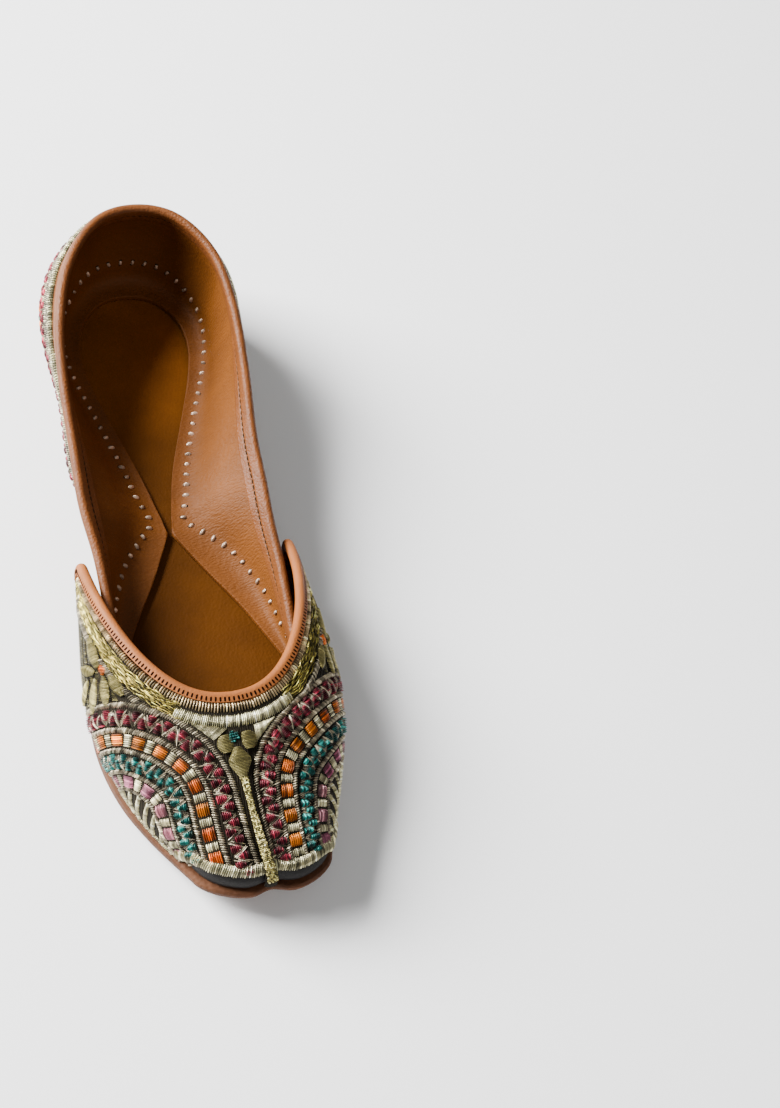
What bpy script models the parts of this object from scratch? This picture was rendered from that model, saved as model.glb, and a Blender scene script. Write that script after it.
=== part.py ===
"""A right-foot jutti: a flat leather slip-on with an embroidered vamp and a separate heel quarter.

The shoe stands on z = 0 with its toe towards -Y and its inner (big toe) side towards +X.
Design sizes are in millimetres. A station is a distance along the shoe, from a datum just inside the
back of the heel, and a half width is measured from the swing line, the sole's gently curved middle.
"""

import math

import bmesh
import bpy
import numpy as np
from mathutils import Matrix, Vector

MM = 0.001

# Driving sizes
LENGTH = 250.0  # from the datum, which is 3 mm in front of the sole's back edge
HEEL_END = -3.0
SOLE_BEVEL = 0.9
INSOLE_THICK = 2.0
GAP = 0.3
ARCH_RISE = 1.8
ARCH_SPAN = (78.0, 142.0)
TOE_SPRING = 9.4
TOE_SPRING_START = 192.0
HEEL_ROUND = (33.0, 2.2)  # depth of the round heel and its squareness
TOE_ROUND = (11.0, 2.7)  # depth of the blunt toe and its squareness
NOTCH_DEPTH = 2.6
NOTCH_WIDTH = 4.2
FEATHER_INSET = 1.7

VAMP_WALL = 2.3
VAMP_REAR = 130.0
THROAT_STATION = 191.0
RIDGE_END = 241.0
THROAT_HALF = 36.2
THROAT_SHAPE = (1.25, 0.87)  # powers of the throat's curve, along and across
REAR_SLANT = 9.0
RIM_FOOT = 0.12  # climb at which the rear edge leaves the sole
THROAT_SAMPLES = 40
TOE_VALLEY = 1.6
TOE_VALLEY_WIDTH = 5.5
TOE_VALLEY_SPAN = (212.0, 244.0)  # stations where the valley begins and reaches its depth
TOE_BAND_HEIGHT = 8.5
TOE_BAND_INSET = 0.7
TOE_BAND_START = 0.52  # share of the front ribs where the band begins
TOE_BULGE = 0.6
RIB_POINTS = 11
RIB_SAMPLES = 24  # fine steps that a rib or a wall line is worked out on
REAR_RIBS = 17
FRONT_RIBS = 18
CORNER_PASSES = 3
REAR_EDGE_STEPS = 12

QUARTER_WALL = 2.0
BEND_RADIUS = 7.0
FLANGE_STEPS = 3
BEND_STEPS = 5
WALL_STEPS = 6
HEEL_ROWS = 3  # rows of the quarter's table round the heel, divided more finely
HEEL_ROW_STEPS = 4
WING_STEP = 0.5  # rows between the sections of a wing
FOOT_STRAIGHT = 5.0  # row from which the foot's edge runs straight, to a pointed corner

VAMP_BINDING = (3.6, 3.5)  # height along the wall, thickness
QUARTER_BINDING = (7.0, 3.4)
EDGE_GAP = 1.0  # clear seam between a wall's cut edge and the piece beside it
WALL_THROAT = THROAT_STATION + VAMP_BINDING[0] + EDGE_GAP
BINDING_STEPS = 30  # along each half of the vamp's rim
BEAD_STEPS = 6
STEM_THICK = 1.1
STEM_START = 203.0
STEM_STEPS = 24
STEM_LIFT = 0.8
STEM_CLEAR = 2.2  # the seam stops short of the sole

COVER_WALL = 1.3
COVER_END = 6.8  # the quarter's row where the embroidered cover ends
COVER_STEPS = 7

# The sole: half width, sideways swing of the middle line and thickness at each station.
SOLE_COLUMNS = ("station", "half", "swing", "thick")
SOLE_ROWS = (
    (-3.0, 28.4, 2.2, 6.5),
    (25.0, 30.6, 1.6, 6.5),
    (50.0, 28.6, 0.3, 6.5),
    (75.0, 22.6, -1.0, 6.5),
    (98.0, 17.6, -2.0, 6.5),
    (116.0, 19.6, -2.0, 6.5),
    (135.0, 27.6, -1.0, 6.5),
    (155.0, 35.2, -0.9, 6.5),
    (175.0, 39.2, -1.0, 6.5),
    (190.0, 39.8, -0.7, 6.4),
    (205.0, 37.6, 0.1, 6.0),
    (220.0, 32.8, 1.2, 5.3),
    (235.0, 25.6, 2.8, 4.6),
    (250.0, 17.2, 4.4, 4.0),
)

# The insole's half width: inside the vamp's wall in front, near the sole's edge behind.
INSOLE_COLUMNS = ("station", "half")
INSOLE_ROWS = (
    (1.0, 24.6),
    (25.0, 27.2),
    (50.0, 25.2),
    (75.0, 19.2),
    (98.0, 14.2),
    (112.0, 14.4),
    (122.0, 16.6),
    (135.0, 21.8),
    (155.0, 29.8),
    (175.0, 34.0),
    (190.0, 34.6),
    (205.0, 32.4),
    (220.0, 27.4),
    (231.0, 21.6),
    (242.0, 15.0),
)

# The vamp: half width and height of its widest line, and height of its ridge or virtual ridge.
VAMP_COLUMNS = ("station", "widest", "widest_z", "ridge_z", "square")
VAMP_ROWS = (
    (105.0, 35.2, 23.0, 48.5, 2.1),
    (131.0, 36.8, 20.5, 47.6, 2.1),
    (150.0, 39.2, 18.0, 46.0, 2.1),
    (170.0, 41.4, 16.5, 44.0, 2.1),
    (185.0, 41.8, 16.0, 41.4, 2.1),
    (195.0, 40.8, 15.4, 38.8, 2.1),
    (207.0, 37.4, 14.6, 35.4, 2.1),
    (220.0, 32.2, 13.8, 31.8, 2.1),
    (235.0, 24.8, 14.0, 26.8, 2.1),
    (250.0, 17.4, 15.4, 21.4, 2.1),
)

# The quarter's lining from the back of the heel to the front of a wing.
# bend: where the turned-in foot meets the wall; edge: the foot's free edge; collar: the top.
# bulge and cover_bulge: how far the lining and the embroidered cover swell between foot and collar.
QUARTER_COLUMNS = (
    "bend_x", "bend_s", "edge_x", "edge_s", "collar_x", "collar_s", "collar_z", "bulge", "cover_bulge"
)
QUARTER_ROWS = (
    (0.0, 5.5, 0.0, 14.0, 0.0, 5.5, 50.5, 3.0, 2.6),
    (15.0, 10.0, 10.5, 17.0, 12.8, 10.0, 50.0, 3.0, 3.4),
    (26.0, 26.0, 18.5, 28.5, 23.8, 25.5, 48.2, 3.0, 4.4),
    (26.6, 46.0, 19.4, 45.0, 29.4, 46.0, 45.0, 2.0, 3.0),
    (20.8, 68.0, 13.6, 67.0, 31.2, 68.0, 41.0, 0.8, 1.8),
    (12.6, 94.0, 5.4, 93.0, 31.2, 94.0, 36.4, 0.0, 7.6),
    (8.2, 110.0, 0.6, 117.0, 31.6, 113.0, 33.4, 0.0, 2.0),
    (17.0, 124.0, 9.2, 133.0, 30.2, 130.0, 30.6, 0.0, 0.0),
    (25.0, 141.0, 18.4, 148.0, 29.4, 148.0, 27.8, 0.0, 0.0),
    (30.3, 164.5, 30.4, 173.0, 28.4, 174.0, 23.2, 0.0, 0.0),
)
FOOT_MEETING_GAP = 0.6
FOOT_MEETING_SHIFT = -0.1  # the two turned-in feet meet off the middle line
# The collar stands out more on the inner side of the heel's back: by how much, at which row, over how many.
COLLAR_FULLNESS = (2.4, 1.2, 1.4)

# The raised middle seam: half width, and offset off the swing line, at shares of its length from
# the flower to the sole.
STEM_COLUMNS = ("share", "half", "offset")
STEM_ROWS = (
    (0.0, 1.2, -2.0),
    (0.12, 3.0, -2.1),
    (0.3, 1.8, -1.9),
    (0.7, 1.5, -1.8),
    (1.0, 2.1, -1.0),
)


def column(columns, rows, name, at):
    """Reads a named column on a smooth curve through the rows; the first column is the place."""
    table = np.array(rows, float)
    place, value = table[:, 0], table[:, columns.index(name)]
    slope = np.gradient(value, place)
    i = int(np.clip(np.searchsorted(place, at, side="right") - 1, 0, len(place) - 2))
    span = place[i + 1] - place[i]
    t = float(np.clip((at - place[i]) / span, 0.0, 1.0))
    start = (1 + 2 * t) * (1 - t) ** 2 * value[i] + t * (1 - t) ** 2 * span * slope[i]
    end = t * t * (3 - 2 * t) * value[i + 1] + t * t * (t - 1) * span * slope[i + 1]
    return float(start + end)


def sole(name, station):
    return column(SOLE_COLUMNS, SOLE_ROWS, name, station)


def vamp(name, station):
    return column(VAMP_COLUMNS, VAMP_ROWS, name, station)


def ramp(value, low, high):
    """0 below low, 1 above high, and a smooth step between."""
    t = min(1.0, max(0.0, (value - low) / (high - low)))
    return t * t * (3 - 2 * t)


def underside(station):
    """Height of the sole's bottom: flat heel and ball, a shallow arch and the toe's spring."""
    low, high = ARCH_SPAN
    if low < station < high:
        return ARCH_RISE * math.sin(math.pi * (station - low) / (high - low)) ** 2
    if station > TOE_SPRING_START:
        return TOE_SPRING * ((station - TOE_SPRING_START) / (LENGTH - TOE_SPRING_START)) ** 2
    return 0.0


def seat(station):
    """Top of the outsole with its clearance, where the upper stands."""
    return underside(station) + sole("thick", station) + GAP


def footbed(station):
    """Top of the insole with its clearance, where the quarter's turned-in foot lies."""
    return seat(station) + INSOLE_THICK + GAP


def design_point(half, station, height):
    """A point from its half width off the swing line, its station and its height."""
    return np.array((half + sole("swing", station), LENGTH / 2 - station, height))


def half_outline(half_of, start, end, steps, notch=0.0):
    """One side of a foot outline from heel to toe as (half width, station) pairs."""
    heel, heel_square = HEEL_ROUND
    toe, toe_square = TOE_ROUND
    points = []
    for k in range(steps["heel"]):
        a = math.pi / 2 * k / steps["heel"]
        station = start + heel * (1 - math.cos(a) ** (2 / heel_square))
        points.append((half_of(station) * math.sin(a) ** (2 / heel_square), station))
    for k in range(steps["side"]):
        station = start + heel + (end - toe - start - heel) * k / steps["side"]
        points.append((half_of(station), station))
    for k in range(steps["toe"] + 1):
        a = math.pi / 2 * k / steps["toe"]
        station = end - toe + toe * math.sin(a) ** (2 / toe_square)
        half = half_of(end - toe * (1 - math.sin(a))) * math.cos(a) ** (2 / toe_square)
        half = half if k < steps["toe"] else 0.0
        points.append((half, station - notch * math.exp(-((half / NOTCH_WIDTH) ** 2))))
    return points


def inset_outline(points, inset):
    """The outline moved inwards by its own normals; its ends stay on the middle line."""
    plan = np.array(points, float)
    full = np.vstack((plan[1:2] * (-1, 1), plan, plan[-2:-1] * (-1, 1)))
    along = full[2:] - full[:-2]
    along /= np.linalg.norm(along, axis=1)[:, None]
    moved = plan + inset * np.column_stack((-along[:, 1], along[:, 0]))
    moved[0, 0] = moved[-1, 0] = 0.0
    return [tuple(p) for p in moved]


SOLE_STEPS = {"heel": 9, "side": 20, "toe": 14}
SOLE_OUTLINE = half_outline(lambda s: sole("half", s), HEEL_END, LENGTH, SOLE_STEPS, NOTCH_DEPTH)
FEATHER = inset_outline(SOLE_OUTLINE, FEATHER_INSET)


def feather_at(station):
    """The feather line's half width at a station on the side of the shoe."""
    side = np.array(FEATHER[SOLE_STEPS["heel"] : SOLE_STEPS["heel"] + SOLE_STEPS["side"] + 3])
    return float(np.interp(station, side[:, 1], side[:, 0]))


def clear_scene():
    for obj in list(bpy.data.objects):
        bpy.data.objects.remove(obj)


def finish_material(name, colour, roughness, metallic=0.0):
    material = bpy.data.materials.new(name)
    material.use_nodes = True
    shader = material.node_tree.nodes["Principled BSDF"]
    shader.inputs["Base Color"].default_value = (*colour, 1.0)
    shader.inputs["Roughness"].default_value = roughness
    shader.inputs["Metallic"].default_value = metallic
    return material


def new_object(name, points, faces, material, outward=True):
    """A named object from design points in millimetres."""
    mesh = bpy.data.meshes.new(name)
    mesh.from_pydata([tuple(Vector(p) * MM) for p in points], [], faces)
    work = bmesh.new()
    work.from_mesh(mesh)
    bmesh.ops.remove_doubles(work, verts=work.verts, dist=1e-6)
    if outward:
        bmesh.ops.recalc_face_normals(work, faces=work.faces)
    work.to_mesh(mesh)
    work.free()
    mesh.shade_smooth()
    mesh.set_sharp_from_angle(angle=math.radians(40))
    mesh.materials.append(material)
    obj = bpy.data.objects.new(name, mesh)
    bpy.context.scene.collection.objects.link(obj)
    return obj


def grid_faces(rows, columns, first=0):
    """Quads of a grid whose points are stored row by row."""
    faces = []
    for r in range(rows - 1):
        for c in range(columns - 1):
            a = first + r * columns + c
            faces.append((a, a + 1, a + columns + 1, a + columns))
    return faces


def loft(name, sections, material):
    """A closed solid through equal closed sections, capped at both ends."""
    count = len(sections[0])
    points = [p for section in sections for p in section]
    faces = [tuple(range(count)), tuple(range(len(points) - count, len(points)))]
    for r in range(len(sections) - 1):
        for c in range(count):
            d = (c + 1) % count
            base = r * count
            faces.append((base + c, base + d, base + count + d, base + count + c))
    return new_object(name, points, faces, material)


def layer(name, outline, levels, material, tip):
    """A foot-shaped slab: rings of the outline at each (inset, height function) level.

    The caps are ladders of rungs from side to side, closed by one face over the last tip points."""
    rings = []
    for inset, height in levels:
        plan = inset_outline(outline, inset)
        left = [design_point(-half, station, height(station)) for half, station in plan]
        right = [design_point(half, station, height(station)) for half, station in plan]
        rings.append(left + right[-2:0:-1])
    count = len(rings[0])
    points = [p for ring in rings for p in ring]
    faces = []
    for r in range(len(rings) - 1):
        for c in range(count):
            d = (c + 1) % count
            base = r * count
            faces.append((base + c, base + d, base + count + d, base + count + c))
    last_rung = len(outline) - 1 - tip
    for base in (0, (len(rings) - 1) * count):
        faces.append((base, base + 1, base + count - 1))
        for c in range(1, last_rung):
            faces.append((base + c, base + c + 1, base + count - c - 1, base + count - c))
        faces.append(tuple(base + c for c in range(last_rung, count - last_rung + 1)))
    return new_object(name, points, faces, material)


def build_outsole(material):
    levels = (
        (SOLE_BEVEL, underside),
        (0.0, lambda s: underside(s) + SOLE_BEVEL),
        (0.0, lambda s: underside(s) + sole("thick", s) - SOLE_BEVEL),
        (SOLE_BEVEL, lambda s: underside(s) + sole("thick", s)),
    )
    return layer("outsole", SOLE_OUTLINE, levels, material, tip=SOLE_STEPS["toe"] - 3)


def build_insole(material):
    steps = {"heel": 8, "side": 20, "toe": 5}
    half_of = lambda s: column(INSOLE_COLUMNS, INSOLE_ROWS, "half", s)
    outline = half_outline(half_of, INSOLE_ROWS[0][0], INSOLE_ROWS[-1][0], steps)
    levels = ((0.0, seat), (0.0, lambda s: seat(s) + INSOLE_THICK))
    return layer("insole", outline, levels, material, tip=2)


def surface_point(station, climb):
    """A point of the vamp's outer face behind the toe, as (half, station, height).

    Climb 0 is the feather, 1 the widest line and 2 the ridge, or the virtual ridge over the throat."""
    widest, widest_z = vamp("widest", station), vamp("widest_z", station)
    if climb < 1:
        start, foot = feather_at(station), seat(station)
        half = start + (widest - start) * math.sin(math.pi / 2 * climb)
        return np.array((half, station, foot + (widest_z - foot) * climb))
    turn = math.pi / 2 * min(climb - 1, 1.0)
    power = 2 / vamp("square", station)
    half = widest * max(0.0, math.cos(turn)) ** power
    height = widest_z + (vamp("ridge_z", station) - widest_z) * math.sin(turn) ** power
    return np.array((half, station, height))


def climb_at(half, station):
    """The climb at which the vamp's outer face reaches a half width above the widest line."""
    near = min(1.0, half / vamp("widest", station))
    return 1 + math.acos(near ** (vamp("square", station) / 2)) / (math.pi / 2)


def throat_point(share):
    """Half width and station of the throat's edge; share runs from the rear corner to the middle."""
    along, across = THROAT_SHAPE
    a = math.pi / 2 * share
    station = VAMP_REAR + (THROAT_STATION - VAMP_REAR) * math.sin(a) ** along
    return THROAT_HALF * max(0.0, math.cos(a)) ** across, station


def rim_path():
    """The vamp's free edge as (station, climb): up the rear edge, round the corner, along the throat."""
    corner = climb_at(THROAT_HALF, VAMP_REAR)
    rear = []
    for k in range(REAR_EDGE_STEPS):
        share = k / REAR_EDGE_STEPS
        rear.append((VAMP_REAR + REAR_SLANT * (1 - share) ** 1.5, RIM_FOOT + (corner - RIM_FOOT) * share))
    throat = []
    for k in range(THROAT_SAMPLES + 1):
        half, station = throat_point(k / THROAT_SAMPLES)
        throat.append((station, climb_at(half, station)))
    path = np.array(rear + throat)
    for _ in range(CORNER_PASSES):
        path[1:-1] = (path[:-2] + 2 * path[1:-1] + path[2:]) / 4
    return path


def surface_frame(station, climb):
    """Point and the two tangents of the vamp's outer face, along the shoe and up the wall."""
    up = min(climb, 1.97)
    point = surface_point(station, climb)
    along = (surface_point(station + 0.5, up) - surface_point(station - 0.5, up)) / 1.0
    rise = (surface_point(station, up + 0.02) - surface_point(station, up - 0.02)) / 0.04
    return point, along, rise


def rim_frames(path):
    """Along the rim: point, direction into the wall and outward normal, as half-width vectors."""
    places = np.array([surface_point(*p) for p in path])
    run = np.gradient(places, axis=0)
    frames = []
    for k, (station, climb) in enumerate(path):
        point, along, rise = surface_frame(station, climb)
        normal = np.cross(rise, along)
        normal /= np.linalg.norm(normal)
        normal = normal if normal[0] + normal[2] > 0 else -normal
        travel = run[k] / np.linalg.norm(run[k])
        travel = np.array((-1.0, 0.0, 0.0)) if k == len(path) - 1 else travel
        inward = np.cross(travel, normal)
        inward /= np.linalg.norm(inward)
        inward = inward if inward[1] - 0.3 * inward[2] > 0 else -inward
        frames.append((point, inward, normal))
    return frames


def inset_rim(path, distance):
    """The rim moved into the wall by a distance along the surface, as (station, climb)."""
    moved = []
    for (station, climb), (point, inward, _) in zip(path, rim_frames(path)):
        goal = point + inward * distance
        place = np.array((station, climb))
        for _ in range(6):
            here, along, rise = surface_frame(*place)
            step = np.linalg.lstsq(np.column_stack((along, rise)), goal - here, rcond=None)[0]
            place = np.array((place[0] + step[0], float(np.clip(place[1] + step[1], 0.0, 2.0))))
        moved.append(place)
    return np.array(moved)


def rear_ribs():
    """Ribs of the vamp's wall from its rear edge to the middle of the throat."""
    edge = inset_rim(rim_path(), VAMP_BINDING[0] + EDGE_GAP)
    rear, throat = edge[: REAR_EDGE_STEPS - 2], edge[REAR_EDGE_STEPS + 2 :]
    throat = throat[throat[:, 0] > rear[:, 0].min() + 0.2]
    throat[-1] = (WALL_THROAT, 2.0)
    heights = np.append(rear[:, 1] / throat[0, 1], 1.0)
    sweep = np.append(rear[:, 0] - throat[0, 0], 0.0)
    reach = np.array([surface_point(*p) for p in throat])
    run = np.concatenate(([0.0], np.cumsum(np.linalg.norm(np.diff(reach, axis=0), axis=1))))
    ribs = []
    for at in np.linspace(0.0, run[-1], REAR_RIBS + 1):
        station, top = (float(np.interp(at, run, throat[:, k])) for k in (0, 1))
        fade = 1 - ramp(at, 0.0, 0.6 * run[-1])
        points = []
        for height in np.linspace(0.0, 1.0, RIB_SAMPLES + 1):
            swept = np.interp(height, heights, sweep) + max(0.0, heights[0] - height) * REAR_SLANT
            points.append(surface_point(station + fade * swept, top * height))
        ribs.append(np.array(points))
    return ribs


def front_rib(share):
    """One rib from the feather to the ridge; shares 0 to 1 run from the throat to the toe's middle."""
    line = np.array([p for p in FEATHER if p[1] > WALL_THROAT])
    line = np.vstack(((feather_at(WALL_THROAT), WALL_THROAT), line))
    run = np.concatenate(([0.0], np.cumsum(np.linalg.norm(np.diff(line, axis=0), axis=1))))
    at = share * run[-1]
    feather, ahead, behind = (
        np.array([np.interp(at + step, run, line[:, k]) for k in (0, 1)]) for step in (0.0, 1.0, -1.0)
    )
    out = np.array((ahead[1] - behind[1], behind[0] - ahead[0]))
    out /= np.linalg.norm(out)
    fade = ramp(share, 0.0, 0.7)
    out = (1 - fade) * np.array((1.0, 0.0)) + fade * (out if share < 1 else np.array((0.0, 1.0)))
    bulge = (1 - fade) * (vamp("widest", feather[1]) - feather[0]) + fade * TOE_BULGE
    widest = feather + bulge * out
    ridge = np.array((0.0, WALL_THROAT + (RIDGE_END - WALL_THROAT) * share**0.95))
    foot = seat(feather[1])
    widest_z, ridge_z = vamp("widest_z", feather[1]), vamp("ridge_z", ridge[1])
    power = 2 / vamp("square", feather[1])
    slope = (vamp("ridge_z", ridge[1] + 1) - vamp("ridge_z", ridge[1] - 1)) / 2
    points = []
    for k in range(RIB_SAMPLES + 1):
        climb = 2 * k / RIB_SAMPLES
        if climb < 1:
            plan = feather + (widest - feather) * math.sin(math.pi / 2 * climb)
            points.append((*plan, foot + (widest_z - foot) * climb))
            continue
        turn = math.pi / 2 * (climb - 1)
        near = math.cos(turn) ** power if k < RIB_SAMPLES else 0.0
        rise = math.sin(turn) ** power
        plan = ridge + (widest - ridge) * near
        height = widest_z + (ridge_z - widest_z) * rise + slope * (plan[1] - ridge[1]) * rise**2
        valley = ramp(plan[1], *TOE_VALLEY_SPAN) * math.exp(-((plan[0] / TOE_VALLEY_WIDTH) ** 2))
        points.append((*plan, height - TOE_VALLEY * valley * rise))
    return np.array(points)


def trimmed(points, from_start, from_end, count):
    """A polyline cut back at both ends by lengths along it and divided evenly."""
    run = np.concatenate(([0.0], np.cumsum(np.linalg.norm(np.diff(points, axis=0), axis=1))))
    at = np.linspace(from_start, run[-1] - from_end, count)
    return np.column_stack([np.interp(at, run, points[:, k]) for k in range(points.shape[1])])


def to_side(points, side):
    """Design points of a half-width polyline on one side of the shoe, side being -1 or 1."""
    return [design_point(side * half, station, height) for half, station, height in points]


def toe_band_height(share):
    """How far the dark band rises above the feather on a front rib."""
    height = TOE_BAND_HEIGHT * ramp(share, TOE_BAND_START, TOE_BAND_START + 0.2)
    return height if height > 0.8 else 0.0


def build_vamp(material):
    """The vamp's outer sheet, thickened inwards."""
    ribs = [trimmed(points, 0.0, 0.0, RIB_POINTS) for points in rear_ribs()]
    for k in range(1, FRONT_RIBS + 1):
        raised = toe_band_height(k / FRONT_RIBS)
        start = raised + EDGE_GAP if raised else 0.0
        ribs.append(trimmed(front_rib(k / FRONT_RIBS), start, 0.0, RIB_POINTS))
    points, faces = [], []
    for side in (-1, 1):
        first = len(points)
        for one in ribs:
            points += to_side(one, side)
        grid = grid_faces(len(ribs), RIB_POINTS, first)
        faces += grid if side > 0 else [face[::-1] for face in grid]
    return sheet("vamp", points, faces, VAMP_WALL, material)


def sheet(name, points, faces, wall, material):
    """A sheet whose faces show its finished side, thickened behind it."""
    obj = new_object(name, points, faces, material, outward=False)
    shell = obj.modifiers.new("wall", "SOLIDIFY")
    shell.thickness = wall * MM
    shell.offset = -1
    shell.use_quality_normals = True
    return obj


def bead(height, thick, wall):
    """A folded binding's section as (distance down the wall, distance out of the finished face)."""
    middle, radius = -wall / 2, thick / 2
    section = [(height, middle - radius)]
    for k in range(BEAD_STEPS + 1):
        a = math.pi * k / BEAD_STEPS
        section.append((radius - radius * math.sin(a), middle - radius * math.cos(a)))
    return section + [(height, middle + radius)]


def build_vamp_binding(material):
    """The rolled edge along the rear edges and the throat."""
    path = rim_path()
    places = np.array([surface_point(*p) for p in path])
    run = np.concatenate(([0.0], np.cumsum(np.linalg.norm(np.diff(places, axis=0), axis=1))))
    even = np.linspace(0.0, run[-1], BINDING_STEPS + 1)
    path = np.column_stack([np.interp(even, run, path[:, k]) for k in (0, 1)])
    shape = bead(*VAMP_BINDING, VAMP_WALL)
    half_sections = []
    foot = inset_rim(path, VAMP_BINDING[0])
    for (point, inward, normal), low in zip(rim_frames(path), foot):
        low_point, along, rise = surface_frame(*low)
        low_normal = np.cross(along, rise)
        low_normal *= np.sign(low_normal.dot(normal)) / np.linalg.norm(low_normal)
        section = [point + inward * down + normal * out for down, out in shape]
        section[0] = low_point + low_normal * shape[0][1]
        section[-1] = low_point + low_normal * shape[-1][1]
        half_sections.append(section)
    left = [to_side(section, -1) for section in half_sections]
    right = [to_side(section, 1) for section in half_sections]
    return loft("vamp_binding", left + right[-2::-1], material)


def grid_normals(grid):
    """Unit normals of a grid of points from its neighbours."""
    along = np.gradient(grid, axis=0)
    across = np.gradient(grid, axis=1)
    normal = np.cross(along, across)
    return normal / np.linalg.norm(normal, axis=2)[:, :, None]


def build_toe_band(material):
    """The plain dark band between the embroidered toe and the sole, set back from the vamp."""
    shares = [k / FRONT_RIBS for k in range(FRONT_RIBS + 1) if toe_band_height(k / FRONT_RIBS)]
    strips = [trimmed(front_rib(s)[:20], 0.0, 0.0, 60) for s in shares]
    strips = [trimmed(p, 0.0, max(0.0, length(p) - toe_band_height(s)), 4) for p, s in zip(strips, shares)]
    rows = [to_side(p, -1) for p in strips] + [to_side(p, 1) for p in strips[-2::-1]]
    grid = np.array(rows)
    grid = grid + grid_normals(grid) * -TOE_BAND_INSET
    points = [p for row in grid for p in row]
    faces = [face[::-1] for face in grid_faces(len(rows), 4)]
    return sheet("toe_band", points, faces, VAMP_WALL - TOE_BAND_INSET, material)


def length(points):
    return float(np.linalg.norm(np.diff(points, axis=0), axis=1).sum())


def quarter(name, place):
    """A column of the quarter's table at a fractional row; rows past the heel's back are mirrored."""
    rows = [(k, *row) for k, row in enumerate(QUARTER_ROWS)]
    flip = np.array([-1.0 if name.endswith("_x") else 1.0 for name in QUARTER_COLUMNS])
    mirrored = [(-k, *(flip * QUARTER_ROWS[k])) for k in (2, 1)]
    return column(("row", *QUARTER_COLUMNS), mirrored + rows, name, place)


def foot_edge(at):
    """The turned-in foot's free edge at a row, as x and station."""
    if at < FOOT_STRAIGHT:
        return quarter("edge_x", at), quarter("edge_s", at)
    rows = np.array(QUARTER_ROWS)
    columns = (QUARTER_COLUMNS.index(name) for name in ("edge_x", "edge_s"))
    return tuple(float(np.interp(at, np.arange(len(rows)), rows[:, k])) for k in columns)


def quarter_line(place):
    """The lining's section at a row, from the turned-in foot's edge to the collar, and its way out."""
    side, at = (-1 if place < 0 else 1), abs(place)

    def foot(x, s):
        return design_point(side * x, s, footbed(s) + QUARTER_WALL)

    edge_x, edge_s = foot_edge(at)
    edge = foot(max(FOOT_MEETING_GAP, edge_x), edge_s)
    edge[0] += FOOT_MEETING_SHIFT * math.exp(-(((at - 6) / 1.3) ** 2))
    bend = foot(quarter("bend_x", at), quarter("bend_s", at))
    collar = design_point(side * quarter("collar_x", at), quarter("collar_s", at), quarter("collar_z", at))
    fullness, row, spread = COLLAR_FULLNESS
    collar[0] += fullness * math.exp(-(((place - row) / spread) ** 2))
    back = edge - bend
    rise = collar - bend
    start = bend + back * min(0.7, BEND_RADIUS / np.linalg.norm(back))
    end = bend + rise * min(0.7, BEND_RADIUS / np.linalg.norm(rise))
    out = np.array((-back[0], -back[1], 0.0)) / np.linalg.norm(back[:2])
    points = [edge + (start - edge) * k / FLANGE_STEPS for k in range(FLANGE_STEPS)]
    for k in range(BEND_STEPS):
        t = k / BEND_STEPS
        points.append(start * (1 - t) ** 2 + bend * 2 * t * (1 - t) + end * t * t)
    for k in range(RIB_SAMPLES + 1):
        t = k / RIB_SAMPLES
        points.append(end + (collar - end) * t + out * quarter("bulge", at) * math.sin(math.pi * t))
    return np.array(points)


def quarter_places():
    """Fractional rows from the outer wing round the heel to the inner wing, closer round the heel."""
    half = [k / HEEL_ROW_STEPS for k in range(HEEL_ROWS * HEEL_ROW_STEPS + 1)]
    half += list(np.arange(HEEL_ROWS + WING_STEP, len(QUARTER_ROWS) - 1 + WING_STEP / 2, WING_STEP))
    return [-p for p in half[:0:-1]] + half


def build_quarter(material):
    """The lining's sheet from the turned-in foot to below the collar's band, thickened outwards."""
    rows = []
    for place in quarter_places():
        line = quarter_line(place)
        lower = line[: FLANGE_STEPS + BEND_STEPS]
        wall = trimmed(line[FLANGE_STEPS + BEND_STEPS :], 0.0, QUARTER_BINDING[0] + GAP, WALL_STEPS + 1)
        rows.append(np.vstack((lower, wall)))
    count = len(rows[0])
    points = [p for row in rows for p in row]
    faces = [face[::-1] for face in grid_faces(len(rows), count)]
    return sheet("quarter", points, faces, QUARTER_WALL, material)


def build_quarter_binding(material):
    """The folded band along the collar from wing to wing."""
    tops, downs = [], []
    for place in quarter_places():
        line = quarter_line(place)
        down = line[-8] - line[-1]
        tops.append(line[-1])
        downs.append(down / np.linalg.norm(down))
    run = np.gradient(np.array(tops), axis=0)
    sections = []
    for top, down, travel in zip(tops, downs, run):
        normal = np.cross(down, travel)
        normal /= np.linalg.norm(normal)
        sections.append([top + down * d + normal * n for d, n in bead(*QUARTER_BINDING, QUARTER_WALL)])
    return loft("quarter_binding", sections, material)


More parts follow.
